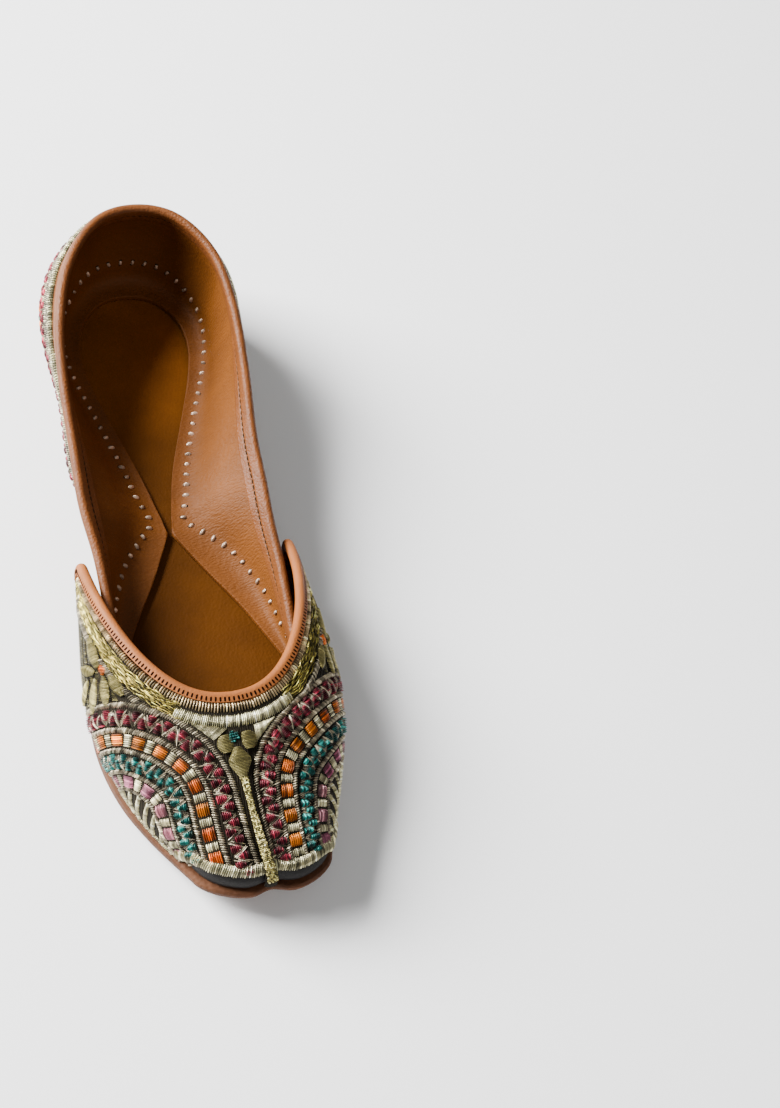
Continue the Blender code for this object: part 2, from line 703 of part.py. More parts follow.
def cover_line(place):
    """The embroidered cover's outer face at a row, from the sole up to the collar's band."""
    at = abs(place)
    line = quarter_line(place)
    wall = trimmed(line[FLANGE_STEPS + BEND_STEPS :], 0.0, QUARTER_BINDING[0] + 2 * GAP, 12)
    bend = np.array((quarter("bend_x", at), quarter("bend_s", at)))
    outline = np.array(FEATHER)
    gaps = np.linalg.norm(outline - bend, axis=1)
    k = int(np.clip(np.argmin(gaps), 1, len(outline) - 2))
    near = outline[k - 1 : k + 2]
    fine = np.vstack([near[0] + (near[1] - near[0]) * f for f in np.linspace(0, 1, 40)]
                     + [near[1] + (near[2] - near[1]) * f for f in np.linspace(0, 1, 40)])
    foot = fine[int(np.argmin(np.linalg.norm(fine - bend, axis=1)))] if at else outline[0]
    side = -1 if place < 0 else 1
    low = design_point(side * foot[0], foot[1], seat(foot[1]))
    out = wall[-1] - line[0]
    out = np.array((out[0], out[1], 0.0)) / np.linalg.norm(out[:2])
    climb = (wall[-1] - wall[-3]) / np.linalg.norm(wall[-1] - wall[-3])
    lift = out - climb * out.dot(climb)
    high = wall[-1] + lift / np.linalg.norm(lift) * (QUARTER_WALL + 2 * GAP + COVER_WALL)
    points = []
    for k in range(RIB_SAMPLES + 1):
        t = k / RIB_SAMPLES
        points.append(low + (high - low) * t + out * quarter("cover_bulge", at) * math.sin(math.pi * t**1.1))
    return np.array(points)


def build_heel_cover(material):
    """The embroidered outer layer round the heel, from the sole to the collar's band."""
    half = [p for p in quarter_places() if 0 <= p < COVER_END] + [COVER_END]
    places = [-p for p in half[:0:-1]] + half
    rows = [trimmed(cover_line(p), 0.0, 0.0, COVER_STEPS + 1) for p in places]
    points = [p for row in rows for p in row]
    faces = grid_faces(len(rows), COVER_STEPS + 1)
    return sheet("heel_cover", points, faces, COVER_WALL, material)


def build_centre_stem(material):
    """The raised seam down the middle of the vamp and over the toe to the sole."""
    line = [(0.0, s, vamp_ridge(s)) for s in np.linspace(STEM_START, RIDGE_END, 30)]
    line += [tuple(p) for p in front_rib(1.0)[-2:0:-1]]
    line = trimmed(np.array(line), 0.0, STEM_CLEAR, STEM_STEPS + 1)
    run = np.gradient(line, axis=0)
    sections = []
    for k, point in enumerate(line):
        share = k / STEM_STEPS
        half = column(STEM_COLUMNS, STEM_ROWS, "half", share)
        offset = column(STEM_COLUMNS, STEM_ROWS, "offset", share)
        normal = np.array((0.0, -run[k][2], run[k][1]))
        normal /= np.linalg.norm(normal)
        lift = GAP + STEM_LIFT * ramp(share, 0.4, 0.95)
        section = []
        for across, height in ((-1, 0.0), (-1, 0.5), (-0.6, 0.9), (0, 1), (0.6, 0.9), (1, 0.5), (1, 0.0)):
            place = point + normal * (lift + STEM_THICK * height)
            section.append(design_point(offset + across * half, place[1], place[2]))
        sections.append(section)
    return loft("centre_stem", sections, material)


def vamp_ridge(station):
    """Height of the vamp's middle line with its valley towards the toe."""
    return vamp("ridge_z", station) - TOE_VALLEY * ramp(station, *TOE_VALLEY_SPAN)


def centre_on_origin(objects):
    """Moves the shoe so the middle of its box's bottom is the origin."""
    graph = bpy.context.evaluated_depsgraph_get()
    low, high = np.full(3, np.inf), np.full(3, -np.inf)
    for obj in objects:
        mesh = obj.evaluated_get(graph).data
        points = np.empty(3 * len(mesh.vertices))
        mesh.vertices.foreach_get("co", points)
        low = np.minimum(low, points.reshape(-1, 3).min(axis=0))
        high = np.maximum(high, points.reshape(-1, 3).max(axis=0))
    shift = Vector((-(low[0] + high[0]) / 2, -(low[1] + high[1]) / 2, -low[2]))
    for obj in objects:
        obj.data.transform(Matrix.Translation(shift))
    return shift


def main():
    clear_scene()
    tan = finish_material("tan_leather", (0.42, 0.20, 0.06), 0.5)
    lining = finish_material("lining_leather", (0.36, 0.19, 0.06), 0.6)
    insole_brown = finish_material("insole_leather", (0.26, 0.12, 0.03), 0.65)
    sole_brown = finish_material("sole_leather", (0.36, 0.15, 0.06), 0.6)
    thread = finish_material("metallic_thread", (0.45, 0.42, 0.26), 0.45, 0.3)
    dark = finish_material("dark_leather", (0.05, 0.045, 0.045), 0.5)
    objects = [
        build_outsole(sole_brown),
        build_insole(insole_brown),
        build_vamp(thread),
        build_toe_band(dark),
        build_vamp_binding(tan),
        build_quarter(lining),
        build_quarter_binding(tan),
        build_heel_cover(thread),
        build_centre_stem(thread),
    ]
    centre_on_origin(objects)


main()
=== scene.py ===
"""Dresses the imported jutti: leathers, rolled edges, laid-thread embroidery, hand stitches and a stage.

Sizes are millimetres in the shoe's own terms: a station runs along the shoe from the heel, a half width
is measured from the sole's swing line, and -1 and 1 are the outer and the inner side.
"""

import math

import bmesh
import bpy
import numpy as np
from bpy.props import FloatProperty, FloatVectorProperty, PointerProperty
from mathutils import Matrix, Vector
from mathutils.bvhtree import BVHTree


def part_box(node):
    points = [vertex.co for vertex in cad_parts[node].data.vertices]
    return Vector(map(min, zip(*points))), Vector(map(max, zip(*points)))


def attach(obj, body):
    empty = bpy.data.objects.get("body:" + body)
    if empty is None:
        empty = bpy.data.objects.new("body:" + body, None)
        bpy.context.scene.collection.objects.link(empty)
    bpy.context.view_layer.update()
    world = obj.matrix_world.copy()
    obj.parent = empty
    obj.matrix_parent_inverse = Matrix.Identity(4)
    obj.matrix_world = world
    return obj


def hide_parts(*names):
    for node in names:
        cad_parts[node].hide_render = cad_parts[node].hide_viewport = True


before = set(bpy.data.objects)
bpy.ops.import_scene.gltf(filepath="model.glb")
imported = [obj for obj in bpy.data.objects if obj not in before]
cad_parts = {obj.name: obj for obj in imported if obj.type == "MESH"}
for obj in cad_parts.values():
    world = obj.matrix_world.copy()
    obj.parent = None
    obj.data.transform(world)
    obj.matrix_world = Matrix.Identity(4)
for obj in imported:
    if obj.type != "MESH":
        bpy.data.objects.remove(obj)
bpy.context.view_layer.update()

bl_info = {
    "name": "Jutti dressing",
    "version": (1, 0, 0),
    "blender": (4, 5, 0),
    "location": "3D View > Sidebar > Jutti",
    "description": "Builds the looks of an embroidered jutti around its solids",
    "category": "Object",
}

MM = 0.001

# Sole and insole
LENGTH = 250.0
HEEL_END = -3.0
GAP = 0.3
INSOLE_THICK = 2.0
ARCH_RISE = 1.8
ARCH_SPAN = (78.0, 142.0)
TOE_SPRING = 9.4
TOE_SPRING_START = 192.0
HEEL_ROUND = (33.0, 2.2)
TOE_ROUND = (11.0, 2.7)
NOTCH_DEPTH = 2.6
NOTCH_WIDTH = 4.2
FEATHER_INSET = 1.7

# Vamp, its throat and its rolled edge
VAMP_WALL = 2.3
VAMP_REAR = 130.0
VAMP_SQUARE = 2.1
THROAT_STATION = 191.0
THROAT_HALF = 36.2
THROAT_SHAPE = (1.25, 0.87)
REAR_SLANT = 9.0
REAR_CURVE = 1.5
RIM_FOOT = 0.12
REAR_EDGE_STEPS = 12
THROAT_SAMPLES = 40
CORNER_PASSES = 3
RIDGE_LIMIT = 1.97
VAMP_BINDING = (3.6, 3.5)

# Quarter, its turned-in foot and its collar
QUARTER_WALL = 2.0
QUARTER_BINDING = (7.0, 3.4)
BEND_RADIUS = 7.0
BEND_SHARE = 0.7
FLANGE_STEPS = 3
BEND_STEPS = 5
WALL_SAMPLES = 24
COLLAR_SAMPLES = 7
FOOT_MEETING_GAP = 0.6
FOOT_MEETING_SHIFT = -0.1
FOOT_MEETING_ROW = (6, 1.3)
FOOT_STRAIGHT = 5.0
COLLAR_FULLNESS = (2.4, 1.2, 1.4)

# Points of lines on the faces lie this far apart.
LINE_STEP = 0.8

SOLE_COLUMNS = ("station", "half", "swing", "thick")
SOLE_ROWS = (
    (-3.0, 28.4, 2.2, 6.5),
    (25.0, 30.6, 1.6, 6.5),
    (50.0, 28.6, 0.3, 6.5),
    (75.0, 22.6, -1.0, 6.5),
    (98.0, 17.6, -2.0, 6.5),
    (116.0, 19.6, -2.0, 6.5),
    (135.0, 27.6, -1.0, 6.5),
    (155.0, 35.2, -0.9, 6.5),
    (175.0, 39.2, -1.0, 6.5),
    (190.0, 39.8, -0.7, 6.4),
    (205.0, 37.6, 0.1, 6.0),
    (220.0, 32.8, 1.2, 5.3),
    (235.0, 25.6, 2.8, 4.6),
    (250.0, 17.2, 4.4, 4.0),
)

VAMP_COLUMNS = ("station", "widest", "widest_z", "ridge_z")
VAMP_ROWS = (
    (105.0, 35.2, 23.0, 48.5),
    (131.0, 36.8, 20.5, 47.6),
    (150.0, 39.2, 18.0, 46.0),
    (170.0, 41.4, 16.5, 44.0),
    (185.0, 41.8, 16.0, 41.4),
    (195.0, 40.8, 15.4, 38.8),
    (207.0, 37.4, 14.6, 35.4),
    (220.0, 32.2, 13.8, 31.8),
    (235.0, 24.8, 14.0, 26.8),
    (250.0, 17.4, 15.4, 21.4),
)

QUARTER_COLUMNS = ("row", "bend_x", "bend_s", "edge_x", "edge_s", "collar_x", "collar_s", "collar_z", "bulge")
QUARTER_ROWS = (
    (0, 0.0, 5.5, 0.0, 14.0, 0.0, 5.5, 50.5, 3.0),
    (1, 15.0, 10.0, 10.5, 17.0, 12.8, 10.0, 50.0, 3.0),
    (2, 26.0, 26.0, 18.5, 28.5, 23.8, 25.5, 48.2, 3.0),
    (3, 26.6, 46.0, 19.4, 45.0, 29.4, 46.0, 45.0, 2.0),
    (4, 20.8, 68.0, 13.6, 67.0, 31.2, 68.0, 41.0, 0.8),
    (5, 12.6, 94.0, 5.4, 93.0, 31.2, 94.0, 36.4, 0.0),
    (6, 8.2, 110.0, 0.6, 117.0, 31.6, 113.0, 33.4, 0.0),
    (7, 17.0, 124.0, 9.2, 133.0, 30.2, 130.0, 30.6, 0.0),
    (8, 25.0, 141.0, 18.4, 148.0, 29.4, 148.0, 27.8, 0.0),
    (9, 30.3, 164.5, 30.4, 173.0, 28.4, 174.0, 23.2, 0.0),
)
WING_TIP = 9.0
COVER_END = 6.8

# The embroidery's outermost rope on each side, from the toe's edge round to the sole: station and half.
OUTER_ROPE = {
    -1: ((241.5, -4.8), (234, -5.5), (226, -5.9), (219, -6.2), (212, -7.6), (206, -10.4), (201, -14.5),
         (196, -19.5), (191.5, -25.7), (188, -31), (185, -36.9), (183.2, -40.2)),
    1: ((241.5, 0.7), (233, 0.6), (226, 0.5), (220, 1.0), (213.4, 2.9), (208, 6.2), (203.2, 10.7),
        (199, 16.2), (195.2, 21.4), (190.2, 29.0), (186, 35.7), (183.5, 39.8)),
}
# Bands of each medallion from the outermost rope inwards: distances of the band's middle on the outer
# and the inner side, width and work.
BAND_SPREAD = {-1: 0.1, 1: -0.2}
BANDS = (
    (0.0, 0.0, 2.2, "rope"),
    (3.9, 3.4, 5.0, "maroon zigzag"),
    (7.8, 6.9, 2.1, "rope"),
    (10.9, 10.1, 4.0, "orange squares"),
    (14.2, 13.2, 1.9, "rope"),
    (17.6, 17.0, 4.8, "teal zigzag"),
    (21.0, 20.8, 1.7, "rope"),
    (23.9, 23.9, 3.8, "pink squares"),
    (26.6, 26.8, 1.5, "rope"),
)


# Shapes worked out from the tables


class Table:
    """A short table read on smooth curves through its rows; the first column is the place."""

    def __init__(self, columns, rows):
        self.columns = columns
        self.rows = np.array(rows, float)
        self.slopes = np.gradient(self.rows, self.rows[:, 0], axis=0)

    def __call__(self, name, at):
        k = self.columns.index(name)
        place, value, slope = self.rows[:, 0], self.rows[:, k], self.slopes[:, k]
        i = np.clip(np.searchsorted(place, at, side="right") - 1, 0, len(place) - 2)
        span = place[i + 1] - place[i]
        t = np.clip((at - place[i]) / span, 0.0, 1.0)
        start = (1 + 2 * t) * (1 - t) ** 2 * value[i] + t * (1 - t) ** 2 * span * slope[i]
        end = t * t * (3 - 2 * t) * value[i + 1] + t * t * (t - 1) * span * slope[i + 1]
        return start + end


def mirrored_rows():
    """The quarter's rows with two mirrored ones past the heel's back, so curves cross it smoothly."""
    flip = np.array([-1.0 if name.endswith("_x") or name == "row" else 1.0 for name in QUARTER_COLUMNS])
    return [tuple(flip * QUARTER_ROWS[k]) for k in (2, 1)] + list(QUARTER_ROWS)


SOLE = Table(SOLE_COLUMNS, SOLE_ROWS)
VAMP = Table(VAMP_COLUMNS, VAMP_ROWS)
QUARTER = Table(QUARTER_COLUMNS, mirrored_rows())


def unit(vectors):
    return vectors / np.maximum(np.linalg.norm(vectors, axis=-1, keepdims=True), 1e-9)


def ramp(value, low, high):
    """0 below low, 1 above high, and a smooth step between."""
    t = np.clip((np.asarray(value, float) - low) / (high - low), 0.0, 1.0)
    return t * t * (3 - 2 * t)


def underside(station):
    low, high = ARCH_SPAN
    arch = ARCH_RISE * np.sin(np.pi * np.clip((station - low) / (high - low), 0, 1)) ** 2
    spring = np.clip((station - TOE_SPRING_START) / (LENGTH - TOE_SPRING_START), 0, None)
    return arch + TOE_SPRING * spring**2


def seat(station):
    return underside(station) + SOLE("thick", station) + GAP


def footbed(station):
    return seat(station) + INSOLE_THICK + GAP


def design_point(half, station, height):
    """Points from half widths off the swing line, stations and heights."""
    parts = (half + SOLE("swing", station), LENGTH / 2 - station, height)
    return np.stack(np.broadcast_arrays(*parts), -1).astype(float)


def stations(points):
    """How far along the shoe design points lie."""
    return LENGTH / 2 - points[..., 1]


def on_side(points, side):
    """Points given as half width, station and height, carried over to one side of the shoe."""
    return design_point(side * points[:, 0], points[:, 1], points[:, 2])


def relax(path, passes=1):
    """Smooths a line in place; its ends stay."""
    for _ in range(passes):
        path[1:-1] = (path[:-2] + 2 * path[1:-1] + path[2:]) / 4


def arc_length(points):
    return np.concatenate(([0.0], np.cumsum(np.linalg.norm(np.diff(points, axis=0), axis=1))))


def read_along(rows, run, at):
    """Rows read at distances along a line; run is how far along it each row lies."""
    return np.stack([np.interp(at, run, column) for column in rows.T], -1)


def resampled(points, spacing):
    """Points spaced evenly along a polyline, ends kept."""
    run = arc_length(points)
    return read_along(points, run, np.linspace(0, run[-1], max(2, int(round(run[-1] / spacing)) + 1)))


def smooth_line(controls, spacing, samples=24):
    """A smooth curve through a few plan points, divided evenly."""
    controls = np.array(controls, float)
    run = arc_length(controls)
    curve = Table(("run", "station", "half"), np.column_stack((run, controls)))
    at = np.linspace(0, run[-1], samples * len(controls))
    return resampled(np.column_stack([curve(name, at) for name in ("station", "half")]), spacing)


def sole_outline(steps):
    """One side of the sole from heel to toe as half widths and stations."""
    heel, heel_square = HEEL_ROUND
    toe, toe_square = TOE_ROUND
    a = np.linspace(0, np.pi / 2, steps["heel"], endpoint=False)
    station = HEEL_END + heel * (1 - np.cos(a) ** (2 / heel_square))
    rows = [np.column_stack((SOLE("half", station) * np.sin(a) ** (2 / heel_square), station))]
    station = np.linspace(HEEL_END + heel, LENGTH - toe, steps["side"], endpoint=False)
    rows.append(np.column_stack((SOLE("half", station), station)))
    a = np.linspace(0, np.pi / 2, steps["toe"] + 1)
    half = SOLE("half", LENGTH - toe * (1 - np.sin(a))) * np.maximum(np.cos(a), 0) ** (2 / toe_square)
    half[-1] = 0.0
    station = LENGTH - toe + toe * np.sin(a) ** (2 / toe_square)
    rows.append(np.column_stack((half, station - NOTCH_DEPTH * np.exp(-((half / NOTCH_WIDTH) ** 2)))))
    return np.vstack(rows)


def inset_outline(plan, inset):
    full = np.vstack((plan[1:2] * (-1, 1), plan, plan[-2:-1] * (-1, 1)))
    along = unit(full[2:] - full[:-2])
    moved = plan + inset * np.column_stack((-along[:, 1], along[:, 0]))
    moved[[0, -1], 0] = 0.0
    return moved


CAD_STEPS = {"heel": 9, "side": 20, "toe": 14}
OUTLINE = sole_outline(CAD_STEPS)
FEATHER = inset_outline(OUTLINE, FEATHER_INSET)
FEATHER_SIDE = FEATHER[CAD_STEPS["heel"] : CAD_STEPS["heel"] + CAD_STEPS["side"] + 3]
# The solids were centred on the origin: the shift is read from the frame's own sole.
SHIFT = np.array((
    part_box("outsole")[1].x / MM - (OUTLINE[:, 0] + SOLE("swing", OUTLINE[:, 1])).max(),
    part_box("outsole")[1].y / MM - (LENGTH / 2 - HEEL_END),
    0.0,
))


def to_world(points):
    return (np.asarray(points, float) + SHIFT) * MM


def to_design(points):
    return np.asarray(points, float) / MM - SHIFT


def vamp_face(station, climb):
    """The vamp's outer face behind the toe as half, station, height: climb 0 sole, 1 widest, 2 ridge."""
    station, climb = np.broadcast_arrays(np.asarray(station, float), np.asarray(climb, float))
    widest, widest_z = VAMP("widest", station), VAMP("widest_z", station)
    start = np.interp(station, FEATHER_SIDE[:, 1], FEATHER_SIDE[:, 0])
    foot = seat(station)
    low = np.clip(climb, 0, 1)
    turn = np.pi / 2 * np.clip(climb - 1, 0, 1)
    power = 2 / VAMP_SQUARE
    half = np.where(climb < 1, start + (widest - start) * np.sin(np.pi / 2 * low),
                    widest * np.maximum(0, np.cos(turn)) ** power)
    height = np.where(climb < 1, foot + (widest_z - foot) * low,
                      widest_z + (VAMP("ridge_z", station) - widest_z) * np.sin(turn) ** power)
    return np.stack((half, station, height), -1)


def climb_at(half, station):
    near = np.minimum(1.0, half / VAMP("widest", station))
    return 1 + np.arccos(near ** (VAMP_SQUARE / 2)) / (np.pi / 2)


def rim_path(count):
    """The vamp's free edge as station and climb: up the rear edge, round the corner, along the throat."""
    along, across = THROAT_SHAPE
    corner = climb_at(THROAT_HALF, VAMP_REAR)
    share = np.arange(REAR_EDGE_STEPS) / REAR_EDGE_STEPS
    slant = REAR_SLANT * (1 - share) ** REAR_CURVE
    rear = np.column_stack((VAMP_REAR + slant, RIM_FOOT + (corner - RIM_FOOT) * share))
    a = np.pi / 2 * np.linspace(0, 1, THROAT_SAMPLES + 1)
    station = VAMP_REAR + (THROAT_STATION - VAMP_REAR) * np.sin(a) ** along
    half = THROAT_HALF * np.maximum(0, np.cos(a)) ** across
    path = np.vstack((rear, np.column_stack((station, climb_at(half, station)))))
    relax(path, CORNER_PASSES)
    run = arc_length(vamp_face(*path.T))
    return read_along(path, run, np.linspace(0, run[-1], count))


def face_tangents(station, climb, step=0.02):
    """Ways along the shoe and up the vamp's face at a place, kept off its ridge."""
    up = np.minimum(climb, RIDGE_LIMIT)
    along = vamp_face(station + 0.5, up) - vamp_face(station - 0.5, up)
    rise = (vamp_face(station, up + step) - vamp_face(station, up - step)) / (2 * step)
    return along, rise


def rim_frames(path):
    """Along the rim: points, ways into the wall and outward normals, in half-width terms."""
    points = vamp_face(*path.T)
    along, rise = face_tangents(*path.T)
    normal = unit(np.cross(rise, along))
    normal *= np.sign(normal[:, 0] + normal[:, 2])[:, None]
    travel = unit(np.gradient(points, axis=0))
    travel[-1] = (-1.0, 0.0, 0.0)
    inward = unit(np.cross(travel, normal))
    # The wall lies towards the toe, and below the rim where that runs along the shoe.
    inward *= np.where(inward[:, 1] - 0.3 * inward[:, 2] > 0, 1.0, -1.0)[:, None]
    return points, inward, normal


def inset_rim(path, distance, rounds=6):
    """The rim moved into the wall by a distance along the face, as station and climb."""
    points, inward, _ = rim_frames(path)
    goal = points + inward * distance
    place = path.copy()
    for _ in range(rounds):
        along, rise = face_tangents(*place.T)
        miss = goal - vamp_face(*place.T)
        aa, ar, rr = ((p * q).sum(1) for p, q in ((along, along), (along, rise), (rise, rise)))
        am, rm = (along * miss).sum(1), (rise * miss).sum(1)
        det = aa * rr - ar * ar
        place[:, 0] += (am * rr - rm * ar) / det
        place[:, 1] = np.clip(place[:, 1] + (rm * aa - am * ar) / det, 0.0, 2.0)
    return place


def rim_row(distance, count=160):
    """The line on the vamp at a distance below its free edge, from the left sole round to the right one."""
    points = vamp_face(*inset_rim(rim_path(count), distance).T)
    return np.vstack((on_side(points, -1), on_side(points, 1)[-2::-1]))


def foot_edge(at):
    """The turned-in foot's free edge at a row, as x and station; it runs straight to its pointed corner."""
    if at < FOOT_STRAIGHT:
        return QUARTER("edge_x", at), QUARTER("edge_s", at)
    rows = np.array(QUARTER_ROWS, float)
    columns = (QUARTER_COLUMNS.index(name) for name in ("edge_x", "edge_s"))
    return tuple(float(np.interp(at, rows[:, 0], rows[:, k])) for k in columns)


def quarter_line(place):
    """The lining's section at a row of the quarter, from its turned-in foot's edge to the collar."""
    side, at = (-1 if place < 0 else 1), abs(place)

    def foot(x, s):
        return design_point(side * x, s, footbed(s) + QUARTER_WALL)

    edge_x, edge_s = foot_edge(at)
    edge = foot(max(FOOT_MEETING_GAP, edge_x), edge_s)
    row, spread = FOOT_MEETING_ROW
    edge[0] += FOOT_MEETING_SHIFT * math.exp(-(((at - row) / spread) ** 2))
    bend = foot(QUARTER("bend_x", at), QUARTER("bend_s", at))
    collar = design_point(side * QUARTER("collar_x", at), QUARTER("collar_s", at), QUARTER("collar_z", at))
    fullness, row, spread = COLLAR_FULLNESS
    collar[0] += fullness * math.exp(-(((place - row) / spread) ** 2))
    back, rise = edge - bend, collar - bend
    start = bend + back * min(BEND_SHARE, BEND_RADIUS / np.linalg.norm(back))
    end = bend + rise * min(BEND_SHARE, BEND_RADIUS / np.linalg.norm(rise))
    out = np.array((-back[0], -back[1], 0.0)) / np.linalg.norm(back[:2])
    flange = np.arange(FLANGE_STEPS)[:, None] / FLANGE_STEPS
    t = np.arange(BEND_STEPS)[:, None] / BEND_STEPS
    w = np.linspace(0, 1, WALL_SAMPLES + 1)[:, None]
    return np.vstack((
        edge + (start - edge) * flange,
        start * (1 - t) ** 2 + bend * 2 * t * (1 - t) + end * t * t,
        end + (collar - end) * w + out * QUARTER("bulge", at) * np.sin(np.pi * w),
    ))


def collar_frames(end, count):
    """Along the collar between the rows -end and end: points, ways down the wall and ways into the shoe."""
    lines = [quarter_line(place) for place in np.linspace(-end, end, count)]
    tops = np.array([line[-1] for line in lines])
    downs = unit(np.array([line[-1 - COLLAR_SAMPLES] - line[-1] for line in lines]))
    return tops, downs, unit(np.cross(downs, np.gradient(tops, axis=0)))


def half_round(radius, middle, points=15):
    """A half-round section over a wall's edge: depths below the edge and places off the wall's face."""
    turns = np.pi * np.linspace(0, 1, points)
    return [(radius - radius * math.sin(a), middle - radius * math.cos(a)) for a in turns]


# Mesh making


HARD_ANGLE = 42.0
EDGE_CREASE = 0.8
SMOOTH_LEVELS = 2


def new_object(name, data):
    obj = bpy.data.objects.new(name, data)
    bpy.context.scene.collection.objects.link(obj)
    return obj


def link_object(name, mesh, material):
    """A finished mesh as a piece that rides on the shoe's one body."""
    mesh.name = name
    mesh.materials.clear()
    mesh.materials.append(material)
    mesh.shade_smooth()
    obj = new_object(name, mesh)
    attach(obj, "root")
    return obj


def mesh_from(points, faces):
    mesh = bpy.data.meshes.new("shape")
    mesh.from_pydata(to_world(points).tolist(), [], faces)
    mesh.update()
    return mesh


def grid_faces(rows, columns, closed=False):
    faces = []
    for r in range(rows - 1):
        for c in range(columns if closed else columns - 1):
            d = (c + 1) % columns
            faces.append((r * columns + c, r * columns + d, (r + 1) * columns + d, (r + 1) * columns + c))
    return faces


def loft_mesh(sections):
    """A closed solid through equal closed sections; its normals are set outwards."""
    count = len(sections[0])
    points = np.vstack(sections)
    faces = grid_faces(len(sections), count, closed=True)
    faces += [tuple(range(count)), tuple(range(len(points) - count, len(points)))]
    mesh = mesh_from(points, faces)
    work = bmesh.new()
    work.from_mesh(mesh)
    bmesh.ops.recalc_face_normals(work, faces=work.faces)
    work.to_mesh(mesh)
    work.free()
    return mesh


def refined_mesh(node_name, shape=None, corner=None):
    """A node's solid made smooth: its triangles joined to quads, subdivided, and moved by shape.

    Where a hard edge turns by more than the corner angle, its point stays sharp.
    """
    work = bmesh.new()
    work.from_mesh(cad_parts[node_name].data)
    bmesh.ops.remove_doubles(work, verts=work.verts, dist=0.02 * MM)
    bmesh.ops.join_triangles(work, faces=work.faces, angle_face_threshold=0.6, angle_shape_threshold=1.2)
    layer = work.edges.layers.float.new("crease_edge")
    for edge in work.edges:
        if len(edge.link_faces) == 2 and edge.calc_face_angle() > math.radians(HARD_ANGLE):
            edge[layer] = EDGE_CREASE
    if corner:
        sharpen_corners(work, layer, math.radians(corner))
    mesh = bpy.data.meshes.new("cage")
    work.to_mesh(mesh)
    work.free()
    cage = new_object("cage", mesh)
    smooth = cage.modifiers.new("smooth", "SUBSURF")
    smooth.levels = smooth.render_levels = SMOOTH_LEVELS
    fine = plain_copy(cage)
    if shape:
        points = np.empty(3 * len(fine.vertices), np.float32)
        fine.vertices.foreach_get("co", points)
        normals = np.empty_like(points)
        fine.vertex_normals.foreach_get("vector", normals)
        moved = shape(to_design(points.reshape(-1, 3)), normals.reshape(-1, 3))
        fine.vertices.foreach_set("co", to_world(moved).astype(np.float32).ravel())
    fine.update()
    return fine


def sharpen_corners(work, layer, angle):
    """Keeps the points sharp where a hard edge turns a corner."""
    sharp = work.verts.layers.float.new("crease_vert")
    for point in work.verts:
        others = [edge.other_vert(point) for edge in point.link_edges if edge[layer]]
        ways = [(other.co - point.co).normalized() for other in others]
        if len(ways) == 2 and ways[0].angle(-ways[1]) > angle:
            point[sharp] = 1.0


def plain_copy(obj):
    """The evaluated object as a plain new mesh; the object itself is removed."""
    bpy.context.view_layer.update()
    graph = bpy.context.evaluated_depsgraph_get()
    mesh = bpy.data.meshes.new_from_object(obj.evaluated_get(graph))
    bpy.data.objects.remove(obj)
    for layer in ("custom_normal", "crease_edge", "crease_vert"):
        if layer in mesh.attributes:
            mesh.attributes.remove(mesh.attributes[layer])
    return mesh


def outwardness(face, middle):
    """How far a face looks away from the middle: 1 straight away from it, -1 straight towards it."""
    spot = to_design(face.center)
    return face.normal.dot(Vector(unit(spot - middle(spot))))


